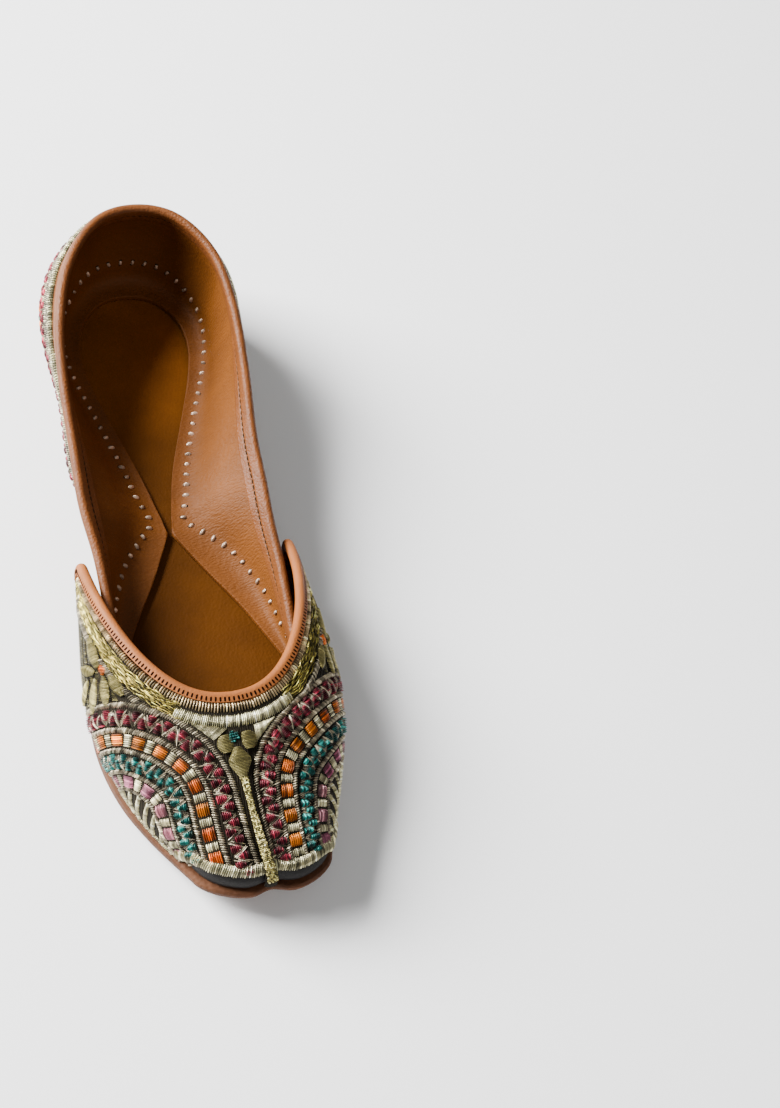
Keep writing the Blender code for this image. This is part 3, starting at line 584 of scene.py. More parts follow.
class Skin:
    """The finished face of a mesh, to lay paths and threads on; its points are design millimetres."""

    # How far a face of the outer skin looks outwards at least
    FACING = 0.25
    # A path carried on ends where its step shrinks to less than this share.
    STALLED = 0.6
    # Plan positions are dropped on the face from this height.
    DROP_HEIGHT = 90.0
    # A path moved sideways is cut where it lies further than this off the face, and given up where
    # fewer points than this are left.
    ON_FACE = 0.25
    FEWEST_POINTS = 6
    # The stations over which a path moved sideways spreads or narrows towards the toe
    SPREAD_SPAN = (212.0, 242.0)

    def __init__(self, mesh, middle):
        self.points = to_design(np.array([v.co for v in mesh.vertices]))
        outer = (f for f in mesh.polygons if middle is None or outwardness(f, middle) > self.FACING)
        self.faces = [tuple(face.vertices) for face in outer]
        self.tree = BVHTree.FromPolygons([tuple(p) for p in self.points], self.faces)

    def border(self):
        """Points on the face's free edges."""
        uses = {}
        for face in self.faces:
            for a, b in zip(face, face[1:] + face[:1]):
                key = (min(a, b), max(a, b))
                uses[key] = uses.get(key, 0) + 1
        return self.points[sorted({p for key, count in uses.items() if count == 1 for p in key})]

    def drop(self, station, half):
        """The point under a plan position, or None."""
        top = design_point(half, station, self.DROP_HEIGHT)
        place = self.tree.ray_cast(Vector(top), Vector((0, 0, -1)))[0]
        return None if place is None else np.array(place)

    def settle(self, points):
        """The nearest points of the face and its normals there."""
        hits = [self.tree.find_nearest(Vector(p)) for p in points]
        return np.array([h[0] for h in hits]), np.array([h[1] for h in hits])

    def extend(self, points, reach, step=LINE_STEP):
        """Carries a path on over the face, straight ahead, to the face's edge."""
        points = list(points)
        way = unit(points[-1] - points[-4])
        for _ in range(int(reach / step)):
            place, normal = (p[0] for p in self.settle([points[-1] + way * step]))
            moved = place - points[-1]
            if np.linalg.norm(moved) < self.STALLED * step:
                break
            points.append(place)
            way = unit(moved - normal * moved.dot(normal))
        return np.array(points)

    def to_edges(self, points, reach=60.0):
        """The path carried on at both ends to the face's edges."""
        return self.extend(self.extend(points, reach)[::-1], reach)[::-1]

    def lay(self, controls, spacing=LINE_STEP):
        """A path on the face over a smooth plan curve of stations and half widths."""
        line = [self.drop(s, h) for s, h in smooth_line(controls, spacing)]
        return resampled(np.array([p for p in line if p is not None]), spacing)

    def frames(self, points):
        """Points settled on the face, ways along the path, ways across it and normals."""
        places, normals = self.settle(points)
        along = np.gradient(places, axis=0)
        along = unit(along - normals * (along * normals).sum(1)[:, None])
        return places, along, np.cross(normals, along), normals

    def offset(self, points, distance, spread=0.0):
        """The path moved sideways over the face, more or less by spread towards the toe.

        What runs off the face's edge is cut away.
        """
        count = max(1, int(math.ceil(abs(distance) / LINE_STEP)))
        for _ in range(count):
            places, _, across, _ = self.frames(points)
            share = 1 + spread * ramp(stations(places), *self.SPREAD_SPAN)
            goal = places + across * share[:, None] * distance / count
            moved = self.settle(goal)[0]
            inside = np.flatnonzero(np.linalg.norm(moved - goal, axis=1) < self.ON_FACE)
            if len(inside) < self.FEWEST_POINTS:
                return None
            points = moved[inside[0] : inside[-1] + 1]
            relax(points)
            points = resampled(points, LINE_STEP)
        return points


# Laid threads


class Threads:
    """Where threads lie: middles, ways along, ways up, sizes and colours."""

    def __init__(self, seed):
        self.rows = []
        self.random = np.random.default_rng(seed)

    def add(self, middle, along, up, size, tint, vary=0.35):
        """Lays threads; size is length, width and height, and vary the spread of their brightness."""
        middle, along, up = (np.atleast_2d(np.asarray(v, float)) for v in (middle, along, up))
        count = len(middle)
        size = np.broadcast_to(np.asarray(size, float), (count, 3))
        tint = np.broadcast_to(np.asarray(tint, float), (count, 3))
        shade = np.exp(vary * np.clip(self.random.normal(size=(count, 1)), -2.2, 2.2))
        for parts in zip(middle, along, up, size, tint * shade):
            self.rows.append(np.concatenate(parts))

    def piece(self, name, finish_name, slot):
        """Makes the threads as one mesh with geometry nodes."""
        finish = thread_finish(finish_name)
        rows = np.array(self.rows)
        plan = bpy.data.meshes.new("thread plan")
        plan.from_pydata(to_world(rows[:, 0:3]).tolist(), [], [])
        values = {"along": rows[:, 3:6], "up": rows[:, 6:9], "reach": rows[:, 9:12] * MM}
        for label, value in values.items():
            layer = plan.attributes.new(label, "FLOAT_VECTOR", "POINT")
            layer.data.foreach_set("vector", value.astype(np.float32).ravel())
        tint = np.column_stack((rows[:, 12:15], np.ones(len(rows))))
        layer = plan.attributes.new("tint", "FLOAT_COLOR", "POINT")
        layer.data.foreach_set("color", tint.astype(np.float32).ravel())
        holder = new_object("thread plan", plan)
        tree = laid_thread_tree()
        laying = holder.modifiers.new("laying", "NODES")
        laying.node_group = tree
        inputs = {s.name: s.identifier for s in tree.interface.items_tree if s.in_out == "INPUT"}
        laying[inputs["Thread"]] = thread_shape()
        laying[inputs["Finish"]] = finish
        mesh = plain_copy(holder)
        for label in values:
            if label in mesh.attributes:
                mesh.attributes.remove(mesh.attributes[label])
        return link_object(name, mesh, finish)


def wire(tree, made, inputs):
    """Sets a node's inputs to values, or links them to the sockets given."""
    for key, value in inputs.items():
        if isinstance(value, bpy.types.NodeSocket):
            tree.links.new(value, made.inputs[key])
        else:
            made.inputs[key].default_value = value


def node(tree, kind, inputs=None, **settings):
    made = tree.nodes.new(kind)
    for name, value in settings.items():
        setattr(made, name, value)
    wire(tree, made, inputs or {})
    return made


def laid_thread_tree():
    """Geometry nodes that lay one thread shape at each point by its ways and its size."""
    known = bpy.data.node_groups.get("Laid threads")
    if known:
        return known
    tree = bpy.data.node_groups.new("Laid threads", "GeometryNodeTree")
    for name, kind in (("Geometry", "Geometry"), ("Thread", "Object"), ("Finish", "Material")):
        tree.interface.new_socket(name, in_out="INPUT", socket_type="NodeSocket" + kind)
    tree.interface.new_socket("Geometry", in_out="OUTPUT", socket_type="NodeSocketGeometry")

    def attribute(name):
        reader = node(tree, "GeometryNodeInputNamedAttribute", {"Name": name}, data_type="FLOAT_VECTOR")
        return next(o for o in reader.outputs if o.enabled)

    source = node(tree, "NodeGroupInput").outputs
    thread = node(tree, "GeometryNodeObjectInfo", {"Object": source["Thread"]})
    ways = {0: attribute("along"), 1: attribute("up")}
    turn = node(tree, "FunctionNodeAxesToRotation", ways, primary_axis="X", secondary_axis="Z")
    lay = node(tree, "GeometryNodeInstanceOnPoints", {
        "Points": source["Geometry"],
        "Instance": thread.outputs["Geometry"],
        "Rotation": turn.outputs[0],
        "Scale": attribute("reach"),
    })
    realize = node(tree, "GeometryNodeRealizeInstances", {"Geometry": lay.outputs["Instances"]})
    dressing = {"Geometry": realize.outputs["Geometry"], "Material": source["Finish"]}
    finish = node(tree, "GeometryNodeSetMaterial", dressing)
    node(tree, "NodeGroupOutput", {"Geometry": finish.outputs["Geometry"]})
    return tree


THREAD_NAME = "satin thread"


def thread_shape(lengthwise=6, around=4, fullness=2.6, sunk=0.35):
    """One unit thread: a half-round strand along X that arches up and dips into the ground at its ends."""
    known = bpy.data.objects.get(THREAD_NAME)
    if known:
        return known
    points, corners = [], []
    for i in range(lengthwise + 1):
        x = i / lengthwise - 0.5
        arch = 1 - abs(2 * x) ** fullness
        half = 0.5 * (1 - 0.4 * abs(2 * x) ** 4)
        for k in range(around + 1):
            a = math.pi * (k / around - 0.5)
            points.append((x, half * math.sin(a), (arch + sunk) * math.cos(a) - sunk))
            corners.append((i / lengthwise, k / around))
    mesh = bpy.data.meshes.new(THREAD_NAME)
    faces = [face[::-1] for face in grid_faces(lengthwise + 1, around + 1)]
    mesh.from_pydata(points, [], faces)
    chart = mesh.uv_layers.new(name="thread")
    for loop in mesh.loops:
        chart.data[loop.index].uv = corners[loop.vertex_index]
    mesh.shade_smooth()
    obj = new_object(THREAD_NAME, mesh)
    obj.hide_render = True
    return obj


def profile(shares, widths):
    """A width along a path, given at shares of its length."""

    def width(share):
        return np.interp(share, shares, widths)

    return width


def swelling(width, start=0.0, span=1.0, power=1.0, base=0.0):
    """A width that swells out along a path and draws in again; start and span say how much of a half wave."""

    def swollen(share):
        return base + width * np.sin(np.pi * (start + span * share)) ** power

    return swollen


def round_width(width):
    """The width of a disc along a path across it."""

    def chord(share):
        return width * np.sqrt(np.maximum(0, 1 - (2 * share - 1) ** 2))

    return chord


def rope(threads, skin, path, width, tint, pitch=0.78, slant=0.45, height=0.8, vary=0.6, lift=0.0, cover=0.76,
         uneven=0.08, shortest=0.4):
    """Satin threads laid across a path; width is a number or a function of the share of the path."""
    places, along, across, up = skin.frames(resampled(path, pitch))
    count = len(places)
    way = unit(across * math.cos(slant) + along * math.sin(slant))
    length = width(np.linspace(0, 1, count)) if callable(width) else np.full(count, float(width))
    length = length * (1 + uneven * threads.random.uniform(-1, 1, count))
    size = np.column_stack((length, np.full(count, pitch * cover), np.full(count, height)))
    laid = length > shortest
    threads.add((places + up * lift)[laid], way[laid], up[laid], size[laid], tint, vary)


def chain(threads, skin, path, tint, length=3.4, width=0.31, slant=0.13, height=0.6):
    """A row of stitches along a path that lean to one side and the other in turn."""
    places, along, across, up = skin.frames(resampled(path, 0.62 * length))
    count = len(places)
    lean = np.where(np.arange(count) % 2, slant, -slant) + threads.random.normal(0, 0.11, count)
    way = unit(along + across * lean[:, None])
    places = places + across * threads.random.normal(0, 0.12, (count, 1))
    size = np.column_stack((length * threads.random.uniform(0.75, 1.15, count), np.full(count, width),
                            height * threads.random.uniform(0.7, 1.3, count)))
    threads.add(places, way, up, size, tint, 0.95)


def beads(threads, skin, path, width, size, tint, vary=0.4, lift=0.0):
    """Small round stitches packed over a strip along a path; width is a function of its share."""
    places, along, across, up = skin.frames(resampled(path, size))
    share = np.linspace(0, 1, len(places))
    for k, reach in enumerate(width(share)):
        count = max(1, int(round(reach / size)))
        spread = (np.arange(count) - (count - 1) / 2 + (0.25 if k % 2 else -0.25)) * size
        goal = places[k] + across[k] * spread[:, None]
        spots, ups = skin.settle(goal)
        turn = threads.random.uniform(-0.6, 0.6, (count, 1))
        way = unit(across[k] + along[k] * turn)
        threads.add(spots + ups * lift, way, ups, (size * 1.25, size * 0.95, size * 0.8), tint, vary)


# Lanes: how far a thread may lie off the face, the shortest one that is laid, and how full a lane is
LANE_OFF = 0.6
LANE_SHORTEST = 0.5
LANE_COVER = 0.86


def lanes(threads, skin, path, centre, reaches, width, tint, height=0.5, vary=0.4):
    """Threads side by side along a path: reaches gives each lane's length, from one edge to the other."""
    run = arc_length(path)
    if not 0 < centre < run[-1]:
        return
    point = read_along(path, run, centre + np.array((-0.5, 0, 0.5)))
    _, along, across, _ = skin.frames(point)
    count = len(reaches)
    spread = (np.arange(count) - (count - 1) / 2) * width / count
    goal = point[1] + across[1] * spread[:, None]
    places, up = skin.settle(goal)
    fits = (np.linalg.norm(places - goal, axis=1) < LANE_OFF) & (np.array(reaches) > LANE_SHORTEST)
    if not fits.any():
        return
    way = np.broadcast_to(along[1], places.shape)
    size = np.column_stack((reaches, np.full(count, width / count * LANE_COVER), np.full(count, height)))
    tint = np.broadcast_to(tint, (count, 3))
    threads.add(places[fits], way[fits], up[fits], size[fits], tint[fits], vary)


# Squares: width of a lane, brightness at the sides (painted shade, against a painted highlight in the
# middle), range of hues, and gap before a pale block
SQUARE_LANE = 0.62
SQUARE_SIDE_SHADE = 0.25
SQUARE_HUES = (0.85, 1.4)
BLOCK_GAP = 1.0


def squares(threads, skin, path, width, period, share, tints, start=0.0, height=0.8):
    """Satin squares that alternate with pale blocks along a band; a painted highlight makes them brightest in
    the middle, with painted shade at the sides.
    """
    square_tint, block_tint = tints
    count = max(4, int(width / SQUARE_LANE))
    at = start
    run = arc_length(path)[-1]
    # Painted highlight down each square's middle, going over to painted shade at its sides.
    middle = np.sin(np.pi * (np.arange(count) + 0.5) / count)[:, None]
    painted_highlight_and_shade = middle * (1 - SQUARE_SIDE_SHADE) + SQUARE_SIDE_SHADE
    while at < run:
        own = square_tint * (1.0, threads.random.uniform(*SQUARE_HUES), 1.0)
        lanes(threads, skin, path, at, [period * share] * count, width, own * painted_highlight_and_shade, height, vary=0.7)
        blocks = [period * (1 - share) - BLOCK_GAP] * count
        lanes(threads, skin, path, at + period / 2, blocks, width, block_tint, 0.75 * height, vary=0.6)
        at += period


# A zigzag's cells: their reach as a share of the period, then the middle and the half of their depth
# as shares of the band; and where the strands of its legs lie beside each other
CELL_REACH = 0.66
CELL_DEPTH = (0.3, 0.37)
LEG_STRANDS = (-0.5, 0.0, 0.5)


def zigzag(threads, skin, path, width, period, tints, leg=0.95, height=0.9):
    """Two staggered rows of small satin cells with a pale zigzag of three loose strands between them."""
    fill_tint, leg_tint = tints
    count = max(6, int(width / 0.55))
    share = (np.arange(count) + 0.5) / count
    line = arc_length(path)
    middle_depth, half_depth = CELL_DEPTH
    for k in range(int(2 * line[-1] / period) + 1):
        depth = share if k % 2 else 1 - share
        swell = np.sqrt(np.maximum(0.0, 1 - ((depth - middle_depth) / half_depth) ** 2))
        reaches = CELL_REACH * period * swell
        lanes(threads, skin, path, k * period / 2, reaches, width, fill_tint, 1.6 * height, vary=0.85)
    reach = math.hypot(width, period / 2)
    strands = len(LEG_STRANDS)
    for k in range(int(2 * line[-1] / period)):
        middle = read_along(path, line, (k + np.array((0.4, 0.5, 0.6))) * period / 2)
        _, along, across, _ = skin.frames(middle)
        slope = math.atan2(width, period / 2) * (-1 if k % 2 else 1)
        way = along[1] * math.cos(slope) + across[1] * math.sin(slope)
        aside = -along[1] * math.sin(slope) + across[1] * math.cos(slope)
        shift = threads.random.uniform(-0.12, 0.12, strands) * reach
        spots = [middle[1] + aside * leg * d + way * s for d, s in zip(LEG_STRANDS, shift)]
        places, ups = skin.settle(spots)
        length = reach * threads.random.uniform(0.6, 0.95, strands)
        size = np.column_stack((length, np.full(strands, 0.36), np.full(strands, 0.8 * height)))
        threads.add(places, np.broadcast_to(way, places.shape), ups, size, leg_tint, 0.8)


# Finishes


FINISHES = {}


def new_finish(name):
    """A finish by its name and, where it is new, its nodes; the solids' own materials are left alone."""
    if name in FINISHES:
        return FINISHES[name], None
    material = bpy.data.materials.new("dressed_" + name)
    material.use_nodes = True
    FINISHES[name] = material
    return material, material.node_tree


def shade(tree, inputs):
    """Sets or links the inputs of a finish's shader."""
    wire(tree, tree.nodes["Principled BSDF"], inputs)


def two_tone(tree, share, dark, light, span=(0.0, 1.0)):
    """A colour between two tones by a share."""
    tone = node(tree, "ShaderNodeValToRGB", {"Fac": share})
    for element, position, tint in zip(tone.color_ramp.elements, span, (dark, light)):
        element.position = position
        element.color = (*tint, 1.0)
    return tone.outputs["Color"]


def carried(tree, value, source, goal, **settings):
    """A value carried from one range over to another."""
    limits = zip(("From Min", "From Max", "To Min", "To Max"), (*source, *goal))
    return node(tree, "ShaderNodeMapRange", {"Value": value, **dict(limits)}, **settings).outputs["Result"]


def scaled(tree, vector, factor):
    return node(tree, "ShaderNodeVectorMath", {0: vector, "Scale": factor}, operation="SCALE").outputs[0]


def bumped(tree, height, strength, distance):
    inputs = {"Height": height, "Strength": strength, "Distance": distance}
    return node(tree, "ShaderNodeBump", inputs).outputs["Normal"]


def object_place(tree):
    return node(tree, "ShaderNodeTexCoord").outputs["Object"]


def grain_group():
    """Shared leather grain: pores and fine creases as a height, and slow mottling."""
    known = bpy.data.node_groups.get("Leather grain")
    if known:
        return known
    tree = bpy.data.node_groups.new("Leather grain", "ShaderNodeTree")
    for name, value in (("Pore size", 0.8), ("Mottle size", 14.0), ("Stretch", 1.0)):
        socket = tree.interface.new_socket(name, in_out="INPUT", socket_type="NodeSocketFloat")
        socket.default_value = value
    for name in ("Height", "Mottle"):
        tree.interface.new_socket(name, in_out="OUTPUT", socket_type="NodeSocketFloat")
    source = node(tree, "NodeGroupInput").outputs
    stretch = node(tree, "ShaderNodeCombineXYZ", {"X": 1.0, "Y": source["Stretch"], "Z": 1.0}).outputs[0]
    pulled = node(tree, "ShaderNodeVectorMath", {0: object_place(tree), 1: stretch}, operation="MULTIPLY")

    def texture(kind, size, inputs, **settings):
        scale = node(tree, "ShaderNodeMath", {0: 1 / MM, 1: source[size]}, operation="DIVIDE")
        inputs = {"Vector": pulled.outputs[0], "Scale": scale.outputs[0], **inputs}
        return node(tree, kind, inputs, **settings).outputs

    pores = texture("ShaderNodeTexVoronoi", "Pore size", {"Smoothness": 0.4}, feature="SMOOTH_F1")["Distance"]
    creases = texture("ShaderNodeTexNoise", "Pore size", {"Detail": 5.0, "Roughness": 0.6})["Fac"]
    mottle = texture("ShaderNodeTexNoise", "Mottle size", {"Detail": 4.0, "Roughness": 0.55})["Fac"]
    height = node(tree, "ShaderNodeMath", {0: pores, 1: 0.6, 2: creases}, operation="MULTIPLY_ADD")
    node(tree, "NodeGroupOutput", {"Height": height.outputs[0], "Mottle": mottle})
    return tree


# Object Y, in metres, over which a leather goes over to its painted light at the heel seat
HEEL_FADE = (0.025, 0.07)
# What a leather has unless it says otherwise: pores, their depth and mottling in millimetres, stretch along
# the shoe, and brightness at the heel seat, which is painted light
LEATHER = {"pore": 0.8, "depth": 0.06, "mottle": 16.0, "stretch": 1.0, "heel": 1.0}
# Leathers: colour, factors of its light and dark tones, roughness, specular level and what differs
LEATHERS = {
    "sole_leather": ("sole", (1.15, 0.6), 0.6, 0.15, {"pore": 1.4, "depth": 0.12, "mottle": 9.0}),
    # The insole's heel factor is painted light: its heel seat is made brighter than its own colour.
    "insole_leather": ("insole", (1.0, 0.66), 0.55, 0.06,
                       {"pore": 0.9, "depth": 0.05, "mottle": 22.0, "heel": 2.2}),
    "lining_leather": ("lining", (1.12, 0.85), 0.5, 0.14,
                       {"pore": 1.5, "depth": 0.1, "mottle": 26.0, "stretch": 2.4}),
    "tan_leather": ("tan", (1.12, 0.8), 0.45, 0.16, {"pore": 0.7}),
    "collar_leather": ("collar", (1.15, 0.8), 0.42, 0.2, {"depth": 0.09, "mottle": 7.0}),
    "dark_leather": ("band", (1.3, 0.7), 0.55, 0.14, {"pore": 0.5, "depth": 0.04}),
}
# Threads: roughness, metallic, depth of the strands' twist and specular level
THREADS = {
    "metal_thread": (0.3, 0.8, 0.05, 0.5),
    "silk_thread": (0.3, 0.5, 0.05, 0.5),
    # A dark, matte finish: painted shade for holes, and the collar's seam
    "hole_dark": (0.9, 0.0, 0.0, 0.02),
}


def leather(name):
    """A leather finish: mottled colour, pores, and roughness that varies with the pores.

    Its brightness goes over to the factor heel from the waist to the heel seat, as painted light on the heel
    seat.
    """
    material, tree = new_finish(name)
    if tree is None:
        return material
    colour_name, tones, roughness, specular, own = LEATHERS[name]
    look = {**LEATHER, **own}
    light, dark = (tinted(colour_name, tone) for tone in tones)
    measures = {"Pore size": look["pore"], "Mottle size": look["mottle"], "Stretch": look["stretch"]}
    grain = node(tree, "ShaderNodeGroup", measures, node_tree=grain_group()).outputs
    along = node(tree, "ShaderNodeSeparateXYZ", {0: object_place(tree)}).outputs["Y"]
    # Painted light: the colour is scaled up towards the heel seat.
    heel_seat_light = carried(tree, along, HEEL_FADE, (1.0, look["heel"]), interpolation_type="SMOOTHSTEP")
    shade(tree, {
        "Base Color": scaled(tree, two_tone(tree, grain["Mottle"], dark, light, (0.3, 0.7)), heel_seat_light),
        "Roughness": carried(tree, grain["Height"], (0.0, 1.0), (roughness - 0.08, roughness + 0.1)),
        "Specular IOR Level": specular,
        "Normal": bumped(tree, grain["Height"], 0.6, look["depth"] * MM * 4),
    })
    return material


def thread_finish(name):
    """A spun thread: its own colour, broken up finely, with the twist of its strands as a bump."""
    material, tree = new_finish(name)
    if tree is None:
        return material
    roughness, metallic, depth, specular = THREADS[name]
    tint = node(tree, "ShaderNodeAttribute", attribute_name="tint").outputs["Color"]
    grain = {"Vector": object_place(tree), "Scale": 2600.0, "Detail": 3.0, "Roughness": 0.6}
    fleck = node(tree, "ShaderNodeTexNoise", grain).outputs["Fac"]
    twist = {"Vector": node(tree, "ShaderNodeUVMap", uv_map="thread").outputs["UV"], "Scale": 9.0}
    strands = node(tree, "ShaderNodeTexWave", twist, wave_type="BANDS", bands_direction="DIAGONAL")
    shade(tree, {
        "Base Color": scaled(tree, tint, carried(tree, fleck, (0.3, 0.7), (0.65, 1.3))),
        "Roughness": roughness,
        "Metallic": metallic,
        "Specular IOR Level": specular,
        "Normal": bumped(tree, strands.outputs["Fac"], 0.5, depth * MM),
    })
    return material


def ground_finish(name, light, dark):
    """The couched ground under the embroidery: fine rows of thread in two tones, kept very dark partly as
    painted shade between the threads.
    """
    material, tree = new_finish(name)
    if tree is None:
        return material
    place = object_place(tree)
    couching = {"Vector": place, "Scale": 420.0, "Distortion": 3.0, "Detail Scale": 2.0}
    rows = node(tree, "ShaderNodeTexWave", couching, wave_type="BANDS", bands_direction="X").outputs["Fac"]
    flecks = node(tree, "ShaderNodeTexNoise", {"Vector": place, "Scale": 900.0, "Detail": 3.0}).outputs["Fac"]
    mix = node(tree, "ShaderNodeMath", {0: rows, 1: flecks}, operation="MULTIPLY").outputs[0]
    shade(tree, {
        "Base Color": two_tone(tree, mix, dark, light),
        "Roughness": 0.8,
        "Specular IOR Level": 0.1,
        "Normal": bumped(tree, rows, 0.7, 0.25 * MM),
    })
    return material


# Settings that a user may change


def colour(name, default, words):
    limits = {"size": 3, "min": 0, "max": 1}
    return FloatVectorProperty(name=name, description=words, subtype="COLOR", default=default, **limits)


def distance(name, default, words):
    return FloatProperty(name=name, description=words, subtype="DISTANCE", default=default * MM)


class JuttiColours(bpy.types.PropertyGroup):
    """Colours of the shoe's leathers and threads, in linear light."""

    tan: colour("Tan edge", (0.26, 0.082, 0.02), "Rolled and folded leather edges")
    collar: colour("Collar", (0.125, 0.038, 0.008), "Folded leather band along the collar")
    lining: colour("Lining", (0.115, 0.0355, 0.005), "Leather that lines the quarter")
    insole: colour("Insole", (0.075, 0.0235, 0.0024), "Leather under the foot")
    sole: colour("Sole", (0.1, 0.039, 0.017), "Sole leather and its cut edge")
    band: colour("Toe band", (0.008, 0.007, 0.0065), "Dark band round the toe")
    # The ground is the cloth's own dark colour, made darker still as painted shade in the gaps between the
    # threads.
    ground: colour("Ground", (0.014, 0.011, 0.006), "Dark cloth under the embroidery")
    pale: colour("Pale gold", (0.6, 0.55, 0.33), "Pale gold satin")
    taupe: colour("Taupe", (0.28, 0.24, 0.165), "Rope between the bands")
    gold: colour("Yellow gold", (0.26, 0.21, 0.05), "Chain rows beside the throat")
    olive: colour("Olive", (0.27, 0.23, 0.085), "Satin petals and leaf")
    maroon: colour("Maroon", (0.115, 0.0095, 0.018), "Outer zigzag band")
    orange: colour("Orange", (0.62, 0.13, 0.007), "Satin squares")
    teal: colour("Teal", (0.007, 0.105, 0.09), "Inner zigzag band")
    pink: colour("Pink", (0.46, 0.15, 0.22), "Inner satin squares")
    overlock: colour("Overlock", (0.46, 0.34, 0.185), "Overlock stitches along the edges")
    stitch: colour("Hand stitch", (0.5, 0.36, 0.26), "Hand stitches on the lining")


class JuttiSizes(bpy.types.PropertyGroup):
    """Sizes of the handwork, in metres."""

    overlock: distance("Overlock pitch", 0.95, "Between overlock stitches along the throat")
    hand_stitch: distance("Hand stitch pitch", 4.5, "Between hand stitches on the lining")
    needle_hole: distance("Needle hole pitch", 1.3, "Between needle holes in the rolled edge")
    square: distance("Square period", 7.8, "From one satin square to the next")
    zigzag: distance("Zigzag period", 5.3, "Length of one zigzag in a band")


def sizes():
    return bpy.context.scene.jutti_sizes


def tinted(name, factor=1.0):
    return np.array(getattr(bpy.context.scene.jutti_colours, name)) * factor


# Faces that carry threads, by the names of their nodes, and the outermost rope of each medallion, by its side
SKINS = {}
OUTER_PATHS = {}


# The pieces


class Piece(bpy.types.Operator):
    """Builds one group of pieces."""

    bl_options = {"REGISTER"}

    def execute(self, context):
        self.build()
        return {"FINISHED"}


class JUTTI_OT_sole(Piece):
    """Sole and insole"""

    bl_idname = "jutti.sole"
    bl_label = "Sole and insole"

    def build(self):
        finish = leather("sole_leather")
        sole = link_object("sole_leather_layer", refined_mesh("outsole"), finish)
        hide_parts("outsole")
        finish = leather("insole_leather")
        insole = link_object("insole_leather_layer", refined_mesh("insole"), finish)
        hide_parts("insole")


# Creases of the lining: station at the foot, lean towards the toe as they rise, and depth
LINING_CREASES = ((88, 0.15, 0.25), (95, 0.05, 0.35), (101, -0.1, 0.4), (107, -0.25, 0.35), (114, -0.4, 0.3))
CREASE_FOOT = 11
CREASE_WIDTH = 1.3
# Heights over which the creases set in and run out
CREASE_START = (10.5, 13)
CREASE_END = (16, 30)
# A slow wave over the wall: depth, how slow along the shoe and up the wall, and heights over which it sets in
WAVE_DEPTH = 0.25
WAVE_ALONG = 9.0
WAVE_UP = 6.0
WAVE_START = (12, 20)


def lining_creases(points, normals):
    """Soft creases of the lining: they fan up the wall from the waist's corner on each side."""
    station, height = stations(points), points[:, 2]
    moved = points.copy()
    reach = ramp(height, *CREASE_START) * (1 - ramp(height, *CREASE_END))
    for side in (-1, 1):
        for at, lean, depth in LINING_CREASES:
            line = at + lean * (height - CREASE_FOOT)
            near = np.exp(-(((station - line) / CREASE_WIDTH) ** 2)) * (points[:, 0] * side > 0)
            moved -= normals * (depth * near * reach)[:, None]
    # The wave leaves the wall's top edge where it is.
    upright = (1 - np.abs(normals[:, 2])) ** 2
    slow = WAVE_DEPTH * np.sin(station / WAVE_ALONG) * np.sin(height / WAVE_UP) * upright
    return moved + normals * (slow * ramp(height, *WAVE_START))[:, None]


class JUTTI_OT_lining(Piece):
    """Quarter lining with its creases"""

    bl_idname = "jutti.lining"
    bl_label = "Quarter lining"

    def build(self):
        mesh = refined_mesh("quarter", shape=lining_creases, corner=24.0)
        lining = link_object("lining_wall", mesh, leather("lining_leather"))
        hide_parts("quarter")
        SKINS["quarter"] = Skin(mesh, None)


